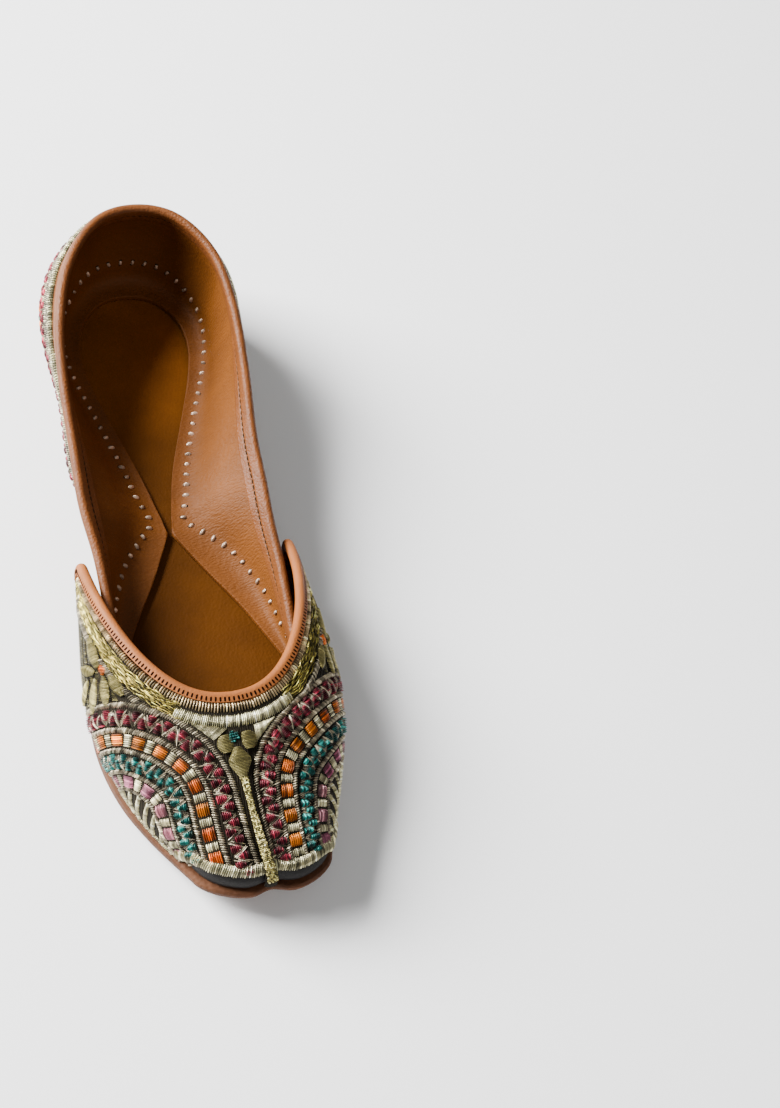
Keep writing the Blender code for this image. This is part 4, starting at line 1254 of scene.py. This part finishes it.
class JUTTI_OT_bindings(Piece):
    """Rolled edge of the vamp and folded band of the collar"""

    bl_idname = "jutti.bindings"
    bl_label = "Bindings"

    # Sections along the rolled edge and the collar, and shares of the rolled edge's sides where points lie
    EDGE_SECTIONS = 130
    COLLAR_SECTIONS = 321
    INNER_SHARES = (0.0, 0.04, 0.25, 0.5, 0.75)
    OUTER_SHARES = (0.25, 0.5, 0.75, 0.96, 1.0)
    # The sewn groove: how far it lies below the collar's edge, its depth and its width
    GROOVE = 4.7
    GROOVE_DEPTH = 0.6
    GROOVE_WIDTH = 0.4
    # How far the strip below the groove is drawn back, and how deep the seam's threads lie in the groove
    STRIP_BACK = 0.3
    SEAM_DEPTH = 0.42
    # The fold laps over the wall's top edge, so no light shows between them.
    FOLD_LAP = 0.6

    def build(self):
        self.vamp_edge()
        self.collar_band()

    def vamp_edge(self):
        height, thick = VAMP_BINDING
        path = rim_path(self.EDGE_SECTIONS)
        points, inward, normal = rim_frames(path)
        foot = inset_rim(path, height)
        low = vamp_face(*foot.T)
        low_normal = unit(np.cross(*face_tangents(*foot.T)))
        low_normal *= np.sign((low_normal * normal).sum(1))[:, None]
        middle, radius = -VAMP_WALL / 2, thick / 2
        bead = half_round(radius, middle)
        sides = []
        for k in range(len(path)):
            upper = [points[k] + inward[k] * d + normal[k] * o for d, o in bead]
            inner_foot = low[k] + low_normal[k] * (middle - radius)
            outer_foot = low[k] + low_normal[k] * (middle + radius)
            inner = [inner_foot + (upper[0] - inner_foot) * t for t in self.INNER_SHARES]
            outer = [upper[-1] + (outer_foot - upper[-1]) * t for t in self.OUTER_SHARES]
            sides.append(np.array(inner + upper + outer))
        sections = [on_side(s, -1) for s in sides] + [on_side(s, 1) for s in sides[-2::-1]]
        edge = link_object("vamp_rolled_edge", loft_mesh(sections), leather("tan_leather"))
        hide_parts("vamp_binding")

    def collar_band(self):
        height, thick = QUARTER_BINDING[0] + self.FOLD_LAP, QUARTER_BINDING[1]
        tops, downs, normals = collar_frames(WING_TIP, self.COLLAR_SECTIONS)
        middle, radius = -QUARTER_WALL / 2, thick / 2
        inner = [(d, middle - radius) for d in np.linspace(height, radius, 18, endpoint=False)]
        outer = [(d, middle + radius) for d in np.linspace(radius, height, 19)[1:]]
        section = np.array(inner + half_round(radius, middle) + outer)
        self.groove(section)
        sections = [t + d * section[:, :1] + n * section[:, 1:] for t, d, n in zip(tops, downs, normals)]
        finish = leather("collar_leather")
        band = link_object("collar_folded_band", loft_mesh(sections), finish)
        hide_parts("quarter_binding")
        seam = Threads(61)
        groove = tops + downs * self.GROOVE
        for face in (middle - radius + self.SEAM_DEPTH, middle + radius - self.SEAM_DEPTH):
            line = resampled(groove + normals * face, 2.2)
            near = np.linalg.norm(line[:, None] - groove[None], axis=2).argmin(1)
            up = normals[near] * np.sign(face - middle)
            seam.add(line, unit(np.gradient(line, axis=0)), up, (1.7, 0.5, 0.25), tinted("ground"), 0.2)
        seam.piece("collar_seam", "hole_dark", "dark_leather")

    def groove(self, section):
        """Presses a sewn groove into both faces of the band and draws its lower strip back a little."""
        off = section[:, 1] + QUARTER_WALL / 2
        trough = self.GROOVE_DEPTH * np.exp(-(((section[:, 0] - self.GROOVE) / self.GROOVE_WIDTH) ** 2))
        lower = self.STRIP_BACK * ramp(section[:, 0], self.GROOVE, self.GROOVE + 0.8)
        section[:, 1] -= np.sign(off) * np.where(np.abs(off) > 1.0, trough + lower, 0.0)


def middle_line(first, last, height):
    """Finds the place in the middle of the shoe beside a point, between two stations and at a height."""

    def beside(point):
        return design_point(0.0, min(max(stations(point), first), last), height)

    return beside


def below(point):
    return point - np.array((0.0, 0.0, 8.0))


class JUTTI_OT_grounds(Piece):
    """Grounds that carry the embroidery, and the dark toe band"""

    bl_idname = "jutti.grounds"
    bl_label = "Embroidery grounds"

    # Node, piece and what its outer faces look away from
    GROUNDS = (
        ("vamp", "vamp_ground", middle_line(0.0, 222.0, 10.0)),
        ("heel_cover", "heel_ground", middle_line(34.0, LENGTH, 30.0)),
        ("centre_stem", "stem_ground", below),
    )
    # The toe's lining: where it starts, how far its foot and its top lie inside the vamp's edge, how far
    # its foot lies below the insole's top, how far its top stands above the edge or the insole, thickness
    TOE_START = 188.0
    TOE_INSETS = (2.5, 3.7)
    TOE_SUNK = 1.6
    TOE_RISE = (1.2, 3.0)
    TOE_THICK = 0.4

    def build(self):
        # The ground's dark tones are partly painted shade between the threads.
        finish = ground_finish("thread_ground", tinted("ground", 1.6), tinted("ground", 0.5))
        for node_name, name, middle in self.GROUNDS:
            mesh = refined_mesh(node_name)
            ground = link_object(name, mesh, finish)
            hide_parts(node_name)
            SKINS[node_name] = Skin(mesh, middle)
            if node_name == "vamp":
                self.line_inside(mesh, middle)
        finish = leather("dark_leather")
        band = link_object("toe_dark_band", refined_mesh("toe_band"), finish)
        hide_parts("toe_band")
        self.line_toe(SKINS["vamp"])

    def line_toe(self, skin):
        """A strip of lining round the toe's inside, from the vamp's lower edge down to the insole."""
        path = lower_edge(skin, self.TOE_START)
        bed = footbed(stations(path))
        run = np.gradient(path, axis=0)
        inward = unit(np.column_stack((-run[:, 1], run[:, 0], np.zeros(len(run)))))
        middle = design_point(0.0, self.TOE_START, 0.0)
        inward *= np.sign(((middle - path) * inward).sum(1))[:, None]
        low, high = (path + inward * inset for inset in self.TOE_INSETS)
        low[:, 2] = bed - self.TOE_SUNK
        over_edge, over_bed = self.TOE_RISE
        high[:, 2] = np.maximum(path[:, 2] + over_edge, bed + over_bed)
        through = inward * self.TOE_THICK
        sections = [np.array((a, b, b + i, a + i)) for a, b, i in zip(low, high, through)]
        link_object("toe_lining", loft_mesh(sections), leather("lining_leather"))

    @staticmethod
    def line_inside(mesh, middle):
        """Gives the faces that look inwards the lining's leather."""
        mesh.materials.append(leather("lining_leather"))
        for face in mesh.polygons:
            if outwardness(face, middle) < -0.2:
                face.material_index = 1


# The vamp's lower edge lies within this height over the sole, and is smoothed in this many passes.
LOWER_EDGE_HEIGHT = 12.0
LOWER_EDGE_PASSES = 16
# How far a medallion's band is carried on to the face's edges at most
BAND_REACH = 12.0


def lower_edge(skin, start):
    """The face's lower edge round the toe from a station on, as one even line."""
    edge = skin.border()
    station = stations(edge)
    edge = edge[(station > start) & (edge[:, 2] < seat(station) + LOWER_EDGE_HEIGHT)]
    station = stations(edge)
    turn = np.arctan2(edge[:, 0] - SOLE("swing", station), station - start)
    path = resampled(edge[np.argsort(turn)], LINE_STEP)
    relax(path, LOWER_EDGE_PASSES)
    return resampled(path, LINE_STEP)


def band_path(side, column):
    """A medallion's band on the vamp, carried to the face's edges."""
    skin = SKINS["vamp"]
    if side not in OUTER_PATHS:
        OUTER_PATHS[side] = skin.to_edges(skin.lay(OUTER_ROPE[side]))
    path = OUTER_PATHS[side]
    distance = BANDS[column][0 if side < 0 else 1]
    if distance:
        path = skin.offset(path, -side * distance, spread=BAND_SPREAD[side])
        path = None if path is None else skin.to_edges(path, BAND_REACH)
    return path


class JUTTI_OT_medallions(Piece):
    """The two medallions of ropes, zigzags and satin squares"""

    bl_idname = "jutti.medallions"
    bl_label = "Medallions"

    # How far the first satin square lies from the toe, on the outer and the inner side
    SQUARE_START = {"orange": (5.8, 0.0), "pink": (3.0, 3.0)}
    # A zigzag's period as a share of the set one, and the brightness of its cells and its legs
    ZIGZAGS = {"maroon": (1.0, 1.0, 1.25), "teal": (0.8, 0.85, 0.95)}
    # The fan's ribs run forwards, outwards and down; their spacing and width
    RIB_WAY = np.array((0.62, -0.55, -0.56))
    RIB_SIZE = (3.9, 1.7)
    # Where a rib's first points lie beside the innermost rope, and its least and greatest length
    RIB_START = (0.9, 1.2, 1.5, 1.8)
    RIB_LENGTH = (1.2, 26.0)

    def build(self):
        skin = SKINS["vamp"]
        metal, silk = Threads(11), Threads(12)
        square, tooth = sizes().square / MM, sizes().zigzag / MM
        for side in (-1, 1):
            for k, (_, _, width, work) in enumerate(BANDS):
                path = band_path(side, k)
                if path is None:
                    continue
                name, _, work = work.rpartition(" ")
                if work == "rope":
                    rope(metal, skin, path, width, tinted("taupe"), slant=0.45 * -side)
                elif work == "zigzag":
                    period, cells, legs = self.ZIGZAGS[name]
                    tints = (tinted(name, cells), tinted("taupe", legs))
                    zigzag(silk, skin, path, width, period * tooth, tints)
                else:
                    start = self.SQUARE_START[name][0 if side < 0 else 1]
                    squares(silk, skin, path, width, square, 0.54, (tinted(name), tinted("pale", 0.8)), start)
            self.fan(metal, skin, side, path)
        metal.piece("medallion_ropes", "metal_thread", "metallic_thread")
        silk.piece("medallion_satin", "silk_thread", "metallic_thread")

    def fan(self, threads, skin, side, path):
        """Pale satin ribs side by side from the innermost rope to the sole's edge."""
        if path is None:
            return
        spacing, width = self.RIB_SIZE
        shortest, longest = self.RIB_LENGTH
        places, _, across, up = skin.frames(resampled(path, 0.4))
        ways = self.RIB_WAY * (side, 1.0, 1.0)
        ways = unit(ways - up * (up @ ways)[:, None])
        sideways = np.cross(up, ways)
        steps = np.abs((np.gradient(places, axis=0) * sideways).sum(1))
        row = np.floor(np.cumsum(steps) / spacing)
        for k in np.flatnonzero(np.diff(row)):
            if (across[k] * -side) @ ways[k] < 0.2:
                continue
            start = skin.settle([places[k] + ways[k] * d for d in self.RIB_START])[0]
            rib = skin.extend(start, longest, 0.5)
            if arc_length(rib)[-1] > shortest:
                rope(threads, skin, rib, width, tinted("pale", 1.05), pitch=0.6, slant=0.5, vary=0.55)


def on_part(points, low, high, inner=0.0, outer=99.0):
    """The stretch of a line between two stations whose half width lies between two limits."""
    station = stations(points)
    half = np.abs(points[:, 0] - SOLE("swing", station))
    return (station > low) & (station < high) & (half > inner) & (half < outer)


class JUTTI_OT_throat(Piece):
    """Overlock, satin and chain rows along the throat"""

    bl_idname = "jutti.throat"
    bl_label = "Throat rows"

    # Distances below the rolled edge
    OVERLOCK_ROW = 1.5
    SATIN_ROW = 6.0
    CHAIN_ROWS = np.arange(3.0, 7.5, 0.48)
    SIDE_ROPE = 9.1
    # Stations between which the rows lie, and the half widths where they end or start
    SATIN_SPAN, SATIN_REACH = (150, 260), 19.0
    CHAIN_SPAN, CHAIN_START = (134, 197), 17.5
    ROPE_SPAN, ROPE_START = (136, 194), 18
    # Overlock width at shares of the throat's line: narrow along the sides, full at the front
    OVERLOCK = ((0.0, 0.3, 0.42, 0.58, 0.7, 1.0), (1.9, 2.0, 3.4, 3.4, 2.0, 1.9))

    def build(self):
        skin = SKINS["vamp"]
        metal = Threads(21)
        edge = VAMP_BINDING[0]
        line, pitch = rim_row(edge + self.OVERLOCK_ROW), sizes().overlock / MM
        rope(metal, skin, line, profile(*self.OVERLOCK), tinted("overlock", 0.85), pitch=pitch, slant=0.0,
             vary=0.65, cover=0.62)
        line = rim_row(edge + self.SATIN_ROW)
        line = line[on_part(line, *self.SATIN_SPAN, outer=self.SATIN_REACH)]
        rope(metal, skin, line, 3.9, tinted("pale", 0.95), pitch=0.62, slant=0.12, vary=0.65, cover=0.74)
        for side in (-1, 1):
            for distance in self.CHAIN_ROWS:
                line = self.side_row(edge + distance, side, self.CHAIN_SPAN, self.CHAIN_START)
                chain(metal, skin, line, tinted("gold"))
            line = self.side_row(edge + self.SIDE_ROPE, side, self.ROPE_SPAN, self.ROPE_START)
            rope(metal, skin, line, 2.6, tinted("taupe", 0.75), vary=0.75, cover=0.68)
        metal.piece("throat_rows", "metal_thread", "metallic_thread")

    @staticmethod
    def side_row(distance, side, span, start):
        """The part of a row beside the throat on one side."""
        line = rim_row(distance)
        return line[on_part(line, *span, inner=start) & (line[:, 0] * side > 0)]


def side_line(start, end, side):
    """A line on the vamp's face between two places given as stations and climbs."""
    return on_side(vamp_face(*np.linspace(start, end, 24).T), side)


def level_line(span, climb, side):
    """A line along the vamp's face between two stations at one climb."""
    start, end = span
    return side_line((start, climb), (end, climb), side)


class JUTTI_OT_flowers(Piece):
    """Flower and leaf over the stem, side flowers and the toe's edge"""

    bl_idname = "jutti.flowers"
    bl_label = "Flowers and toe edge"

    # Petals of a side flower: start, end and width, as stations and climbs up the vamp's face
    SIDE_PETALS = (
        ((175.0, 1.25), (184.0, 1.13), 4.2),
        ((175.8, 1.33), (184.6, 1.3), 4.2),
        ((176.4, 1.38), (184.0, 1.44), 4.0),
        ((171.4, 1.28), (160.5, 1.22), 4.8),
        ((173.8, 1.16), (178.0, 0.94), 3.6),
        ((172.4, 1.24), (167.5, 1.08), 3.8),
    )
    # Extra width of the dark rim of painted shade round each petal
    PETAL_SHADE_RIM = 1.3
    # Start and end of the dot in a side flower's middle
    SIDE_DOT = ((171.7, 1.32), (174.7, 1.32))
    # Over the stem: discs, triangles from tip to root, the knot, and the leaf with its stalk, as plan places
    DISCS = ((206.7, -5.5), (206.5, 1.5))
    DISC_RADIUS = 2.95
    TRIANGLES = (((198.9, -14.4), (203.4, -6.6)), ((200.6, 11.6), (204.6, 4.6)))
    TRIANGLE_WIDTH = ((0, 1), (0.5, 5.7))
    KNOT = ((202.8, -3.2), (206.8, -3.2))
    STEM_LINE = ((208.8, -2.7), (212, -2.8), (219, -2.9), (230, -2.8), (240, -2.1), (243, -1.7))
    LEAF_SHARE = 0.22
    LEAF_WIDTH = ((0, 0.2, 0.4, 0.55, 0.8, 1), (2.4, 4.8, 7.2, 7.0, 4.6, 2.8))
    STALK_WIDTH = ((0, 0.5, 1), (2.8, 3.2, 3.9))
    # Low satin rows behind a side flower: stations, climbs, and distances kept from the throat's rope and
    # the medallion's, the latter ahead and all round
    FILL_SPAN = (140, 192)
    FILL_CLIMBS = np.arange(0.88, 1.62, 0.062)
    FILL_GAPS = (1.4, 0.4, 1.5)
    # Rows low on the vamp's side: stations, and climb, width and work of each
    LOW_SPAN = (144, 181)
    LOW_ROWS = ((0.78, 2.2, "rope"), (0.5, 2.8, "squares"), (0.22, 2.2, "rope"))
    # The toe's rope: where it starts, how far it lies inside the vamp's lower edge, and how far that edge
    # has to stand off the sole
    TOE_MIDDLE = 218.0
    TOE_INSET = 3.3
    TOE_STANDOFF = 1.0

    def build(self):
        vamp, stem = SKINS["vamp"], SKINS["centre_stem"]
        metal, silk = Threads(31), Threads(32)
        satin = {"pitch": 0.46, "slant": 0.0, "vary": 0.16, "cover": 0.95, "uneven": 0.0}
        for station, half in self.DISCS:
            ends = [(station + way * self.DISC_RADIUS, half) for way in (-1, 1)]
            width = round_width(2 * self.DISC_RADIUS)
            rope(silk, vamp, vamp.lay(ends, 0.4), width, tinted("olive"), height=1.0, lift=0.9, **satin)
        for ends in self.TRIANGLES:
            rope(metal, vamp, vamp.lay(ends, 0.5), profile(*self.TRIANGLE_WIDTH), tinted("pale", 1.05),
                 pitch=0.45, slant=0.5, vary=0.3, uneven=0.0)
        knot = swelling(2.4, base=1.6)
        beads(silk, stem, stem.lay(self.KNOT, 0.5), knot, 0.7, tinted("teal", 0.75), vary=0.9, lift=0.2)
        path = stem.extend(stem.lay(self.STEM_LINE, 0.5), 12.0)
        split = int(self.LEAF_SHARE * len(path))
        rope(silk, stem, path[: split + 1], profile(*self.LEAF_WIDTH), tinted("olive"), height=0.9, **satin)
        beads(metal, stem, path[split:], profile(*self.STALK_WIDTH), 0.56, tinted("olive", 1.3), vary=0.95)
        for side in (-1, 1):
            self.side_fill(metal, vamp, side)
            self.side_flower(metal, silk, vamp, side)
            self.low_rows(metal, silk, vamp, side)
        self.toe_edge(metal, vamp)
        metal.piece("flower_metal", "metal_thread", "metallic_thread")
        silk.piece("flower_satin", "silk_thread", "metallic_thread")

    def side_flower(self, metal, silk, skin, side):
        """Petals on a dark rim of painted shade round an orange dot."""
        satin = {"slant": 0.3, "uneven": 0.0}
        for start, end, width in self.SIDE_PETALS:
            path = side_line(start, end, side)
            shade_rim, petal = (swelling(width, 0.08, 0.84, 0.7, base) for base in (self.PETAL_SHADE_RIM, 0.0))
            # Painted shade: a rim of dark threads under each raised petal.
            rope(metal, skin, path, shade_rim, tinted("ground", 0.6), pitch=0.6, height=0.5, vary=0.3,
                 lift=0.25, cover=1.1, **satin)
            rope(metal, skin, path, petal, tinted("olive", 0.9), pitch=0.5, height=0.7, vary=0.35,
                 lift=0.6, cover=0.95, **satin)
        dot = swelling(3.4, 0.1, 0.8)
        rope(silk, skin, side_line(*self.SIDE_DOT, side), dot, tinted("orange", 0.8), pitch=0.5, lift=0.4)

    def side_fill(self, metal, skin, side):
        """Low satin rows behind the side flower, between the throat's rope and the medallion."""
        from_throat, from_front, all_round = self.FILL_GAPS
        limit = inset_rim(rim_path(160), VAMP_BINDING[0] + JUTTI_OT_throat.SIDE_ROPE + from_throat)
        limit = limit[np.argmin(limit[:, 0]) :]
        rope_line = OUTER_PATHS[side]
        for climb in self.FILL_CLIMBS:
            path = resampled(level_line(self.FILL_SPAN, climb, side), 0.6)
            station = stations(path)
            ceiling = np.interp(station, limit[:, 0], limit[:, 1], left=0.0)
            near = np.linalg.norm(path[:, None] - rope_line[None], axis=2)
            ahead = stations(rope_line[near.argmin(1)])
            path = path[(climb < ceiling) & (station < ahead - from_front) & (near.min(1) > all_round)]
            if len(path) > 6:
                rope(metal, skin, path, 2.0, tinted("olive", 0.3), pitch=0.6, slant=0.35, height=0.4)

    def low_rows(self, metal, silk, skin, side):
        """Ropes and small squares low on the vamp's side, from its rear edge to the medallion."""
        for climb, width, work in self.LOW_ROWS:
            path = level_line(self.LOW_SPAN, climb, side)
            if work == "rope":
                rope(metal, skin, path, width, tinted("taupe"))
            else:
                squares(silk, skin, path, width, 6.0, 0.5, (tinted("teal"), tinted("pink", 0.8)), start=2.0)

    def toe_edge(self, metal, skin):
        """A rope over the vamp's lower edge, where it stands off the sole round the toe."""
        path = lower_edge(skin, self.TOE_MIDDLE)
        path = path[path[:, 2] > seat(stations(path)) + self.TOE_STANDOFF]
        inner = skin.offset(path, self.TOE_INSET)
        rope(metal, skin, path if inner is None else inner, 3.9, tinted("pale", 0.65), pitch=0.66, slant=0.2,
             height=0.9, lift=0.5, cover=0.8)


class JUTTI_OT_heel(Piece):
    """Rows of embroidery round the heel cover"""

    bl_idname = "jutti.heel"
    bl_label = "Heel embroidery"

    # Distance below the cover's top edge, width and work of each row.
    ROWS = (
        (1.6, 2.8, "overlock"),
        (4.6, 2.0, "rope"),
        (8.2, 4.4, "maroon zigzag"),
        (11.6, 1.9, "rope"),
        (14.6, 3.6, "orange squares"),
        (17.6, 1.9, "rope"),
        (21.0, 4.2, "teal zigzag"),
        (24.2, 1.9, "rope"),
        (27.0, 3.4, "pink squares"),
        (29.8, 1.9, "rope"),
        (32.2, 2.4, "overlock"),
    )

    # Where the line is looked for from which the rows are counted, below the collar's band and outside it
    START = (1.0, 4.0)
    # Where the middle of the cover's top edge lies below and outside the collar's line
    TOP_EDGE = (7.7, 3.2)
    ZIGZAG_PERIOD = 5.0
    SQUARE_PERIOD = 6.8

    def build(self):
        skin = SKINS["heel_cover"]
        metal, silk = Threads(41), Threads(42)
        tops, downs, outs = collar_frames(COVER_END, 161)
        down, out = self.START
        path = skin.settle(tops + downs * (QUARTER_BINDING[0] + down) - outs * out)[0]
        path = resampled(path, LINE_STEP)
        self.top_edge(metal, tops, downs, outs)
        way = 1.0 if skin.frames(path)[2][:, 2].mean() < 0 else -1.0
        done = 0.0
        for distance, width, work in self.ROWS:
            path = skin.offset(path, way * (distance - done))
            done = distance
            if path is None:
                break
            name, _, work = work.rpartition(" ")
            if work in ("rope", "overlock"):
                tint = tinted("pale", 0.7) if work == "overlock" else tinted("taupe")
                rope(metal, skin, path, width, tint, height=0.5)
            elif work == "zigzag":
                tints = (tinted(name, 1.15), tinted("pale", 0.45))
                zigzag(silk, skin, path, width, self.ZIGZAG_PERIOD, tints, height=0.6)
            else:
                tints = (tinted(name), tinted("pale", 0.65))
                squares(silk, skin, path, width, self.SQUARE_PERIOD, 0.5, tints, height=0.6)
        metal.piece("heel_ropes", "metal_thread", "metallic_thread")
        silk.piece("heel_satin", "silk_thread", "metallic_thread")

    def top_edge(self, metal, tops, downs, outs):
        """Overlock threads over the cover's cut top edge."""
        down, out = self.TOP_EDGE
        rows = np.hstack((tops + downs * down - outs * out, downs, outs))
        run = arc_length(rows[:, :3])
        rows = read_along(rows, run, np.linspace(0, run[-1], int(run[-1] / (sizes().overlock / MM))))
        line, downs, outs = rows[:, 0:3], unit(rows[:, 3:6]), unit(rows[:, 6:9])
        up = unit(-0.85 * downs - 0.55 * outs)
        way = unit(np.cross(up, np.gradient(line, axis=0)))
        metal.add(line, way, up, (2.3, 0.62, 0.55), tinted("pale", 0.6), 0.5)


class JUTTI_OT_stitches(Piece):
    """Hand stitches through the turned-in foot of the lining, and needle holes in the rolled edge"""

    bl_idname = "jutti.stitches"
    bl_label = "Hand stitches"

    # How far the stitches lie from the foot's free edge at rows of the quarter's table
    INSET_COLUMNS = ("row", "inset")
    LAST_ROW = 8.8
    INSET_ROWS = ((0, 15.0), (1, 14.0), (2, 9.0), (3, 5.5), (4, 4.4), (5, 5.2), (6, 6.6), (6.5, 9.0),
                  (7, 11.5), (8, 10.5), (LAST_ROW, 9.0))
    STITCH_SIZE = (2.25, 1.3, 0.8)
    STITCH_ENDS = (-0.95, 0.95)
    # Dark marks at a stitch's ends: painted shade in the holes that the thread goes through
    HOLE_SIZE = (1.2, 0.8, 0.12)
    HOLE_SHADE_TINT = (0.012, 0.006, 0.003)
    # Needle holes: size, tint of their painted shade and how far they lie above the rolled edge's lower side
    NEEDLE_SIZE = (1.5, 0.66, 0.06)
    NEEDLE_SHADE_TINT = (0.006, 0.002, 0.001)
    NEEDLE_RISE = 1.0

    def build(self):
        self.hand_stitches()
        self.needle_holes()

    def hand_stitches(self):
        inset = Table(self.INSET_COLUMNS, self.INSET_ROWS)
        stitches, holes = Threads(51), Threads(52)
        line = []
        for place in np.linspace(-self.LAST_ROW, self.LAST_ROW, 241):
            section = quarter_line(place)
            line.append(read_along(section, arc_length(section), inset("inset", abs(place))))
        line = resampled(np.array(line), sizes().hand_stitch / MM)
        places, along, across, up = SKINS["quarter"].frames(line)
        up *= np.sign(up[:, 2])[:, None]
        lean = stitches.random.uniform(-0.45, 0.45, (len(places), 1))
        way = unit(across + along * lean)
        size = np.tile(self.STITCH_SIZE, (len(places), 1))
        size[:, 0] *= stitches.random.uniform(0.8, 1.2, len(places))
        stitches.add(places + up * 0.1, way, up, size, tinted("stitch"), 0.25)
        # Painted shade: a dark mark at each end of a stitch.
        for end in self.STITCH_ENDS:
            holes.add(places + way * end + up * 0.02, along, up, self.HOLE_SIZE, self.HOLE_SHADE_TINT, 0.0)
        stitches.piece("lining_stitches", "silk_thread", "metallic_thread")
        holes.piece("lining_stitch_holes", "hole_dark", "dark_leather")

    def needle_holes(self):
        """Small dark marks where the overlock goes through the rolled edge: painted shade in the needle
        holes.
        """
        height, thick = VAMP_BINDING
        whole = arc_length(vamp_face(*rim_path(200).T))[-1]
        path = rim_path(int(whole * MM / sizes().needle_hole))
        _, inward, normal = rim_frames(path)
        points = vamp_face(*inset_rim(path, height - self.NEEDLE_RISE).T)
        points = points + normal * ((thick - VAMP_WALL) / 2 + 0.03)
        holes = Threads(53)
        for side in (-1, 1):
            # From half-width terms to the design frame: stations run against Y.
            turn = np.array((side, -1.0, 1.0))
            ways = (inward * turn, normal * turn)
            holes.add(on_side(points, side), *ways, self.NEEDLE_SIZE, self.NEEDLE_SHADE_TINT, 0.0)
        holes.piece("edge_needle_holes", "hole_dark", "dark_leather")


class JUTTI_OT_stage(Piece):
    """Floor, lights and the camera"""

    bl_idname = "jutti.stage"
    bl_label = "Stage"

    # Half the floor's side, in metres, and its grey
    FLOOR_REACH = 4.0
    FLOOR_COLOUR = (0.94, 0.94, 0.94, 1.0)
    WORLD_LIGHT = 0.25
    # Lamps: place and size in metres, and power
    LAMPS = (
        ("key", (-1.2, 0.85, 0.95), 1.0, 205.0),
        ("fill", (0.3, -1.3, 1.3), 1.2, 7.0),
    )
    # The photograph's view: focal length in pixels of its frame, place and turns
    FRAME_LONG_SIDE = 1108.0
    FOCAL = 1817.0
    SENSOR = 36.0
    CAMERA_PLACE = (-130.16, -292.33, 554.26)
    YAW, PITCH, ROLL = 35.87, 57.29, 24.3

    def build(self):
        self.floor()
        self.lights()
        self.camera()

    def floor(self):
        mesh = bpy.data.meshes.new("floor")
        reach = self.FLOOR_REACH
        corners = [(x * reach, y * reach, 0) for x, y in ((-1, -1), (1, -1), (1, 1), (-1, 1))]
        mesh.from_pydata(corners, [], [(0, 1, 2, 3)])
        material, tree = new_finish("pale_floor")
        shade(tree, {"Base Color": self.FLOOR_COLOUR, "Roughness": 0.7})
        mesh.materials.append(material)
        floor = new_object("floor", mesh)

    def lights(self):
        world = bpy.data.worlds.new("studio")
        world.use_nodes = True
        back = world.node_tree.nodes["Background"]
        back.inputs["Color"].default_value = (1.0, 1.0, 1.0, 1.0)
        back.inputs["Strength"].default_value = self.WORLD_LIGHT
        bpy.context.scene.world = world
        for name, place, size, power in self.LAMPS:
            lamp = bpy.data.lights.new(name, "AREA")
            lamp.size, lamp.energy = size, power
            obj = new_object(name, lamp)
            obj.location = place
            obj.rotation_euler = (-Vector(place)).to_track_quat("-Z", "Y").to_euler()

    def camera(self):
        yaw, pitch, roll = (math.radians(a) for a in (self.YAW, self.PITCH, self.ROLL))
        ahead = np.array((math.sin(yaw) * math.cos(pitch), math.cos(yaw) * math.cos(pitch), -math.sin(pitch)))
        right = np.array((math.cos(yaw), -math.sin(yaw), 0.0))
        up = np.cross(right, ahead)
        across, along = math.cos(roll), math.sin(roll)
        right, up = across * right + along * up, across * up - along * right
        data = bpy.data.cameras.new("camera")
        data.sensor_width = self.SENSOR
        data.lens = self.FOCAL * self.SENSOR / self.FRAME_LONG_SIDE
        data.clip_start, data.clip_end = 0.01, 20.0
        camera = new_object("camera", data)
        turn = Matrix((right, up, -ahead)).transposed().to_4x4()
        camera.matrix_world = Matrix.Translation(to_world(self.CAMERA_PLACE)) @ turn
        bpy.context.scene.camera = camera


class JUTTI_PT_panel(bpy.types.Panel):
    """Lists the pieces in the sidebar"""

    bl_label = "Jutti"
    bl_idname = "JUTTI_PT_panel"
    bl_space_type = "VIEW_3D"
    bl_region_type = "UI"
    bl_category = "Jutti"

    def draw(self, context):
        for group in (context.scene.jutti_colours, context.scene.jutti_sizes):
            for name in group.__annotations__:
                self.layout.prop(group, name)
        for operator in OPERATORS:
            self.layout.operator(operator.bl_idname)


OPERATORS = (
    JUTTI_OT_stage,
    JUTTI_OT_sole,
    JUTTI_OT_lining,
    JUTTI_OT_bindings,
    JUTTI_OT_grounds,
    JUTTI_OT_medallions,
    JUTTI_OT_throat,
    JUTTI_OT_flowers,
    JUTTI_OT_heel,
    JUTTI_OT_stitches,
)
CLASSES = (JuttiColours, JuttiSizes, *OPERATORS, JUTTI_PT_panel)


def register():
    for kind in CLASSES:
        bpy.utils.register_class(kind)
    bpy.types.Scene.jutti_colours = PointerProperty(type=JuttiColours)
    bpy.types.Scene.jutti_sizes = PointerProperty(type=JuttiSizes)


def unregister():
    del bpy.types.Scene.jutti_sizes
    del bpy.types.Scene.jutti_colours
    for kind in reversed(CLASSES):
        bpy.utils.unregister_class(kind)


def main():
    register()
    for operator in OPERATORS:
        group, name = operator.bl_idname.split(".")
        getattr(getattr(bpy.ops, group), name)()
    bpy.data.objects.remove(bpy.data.objects[THREAD_NAME])


if __name__ == "__main__":
    main()
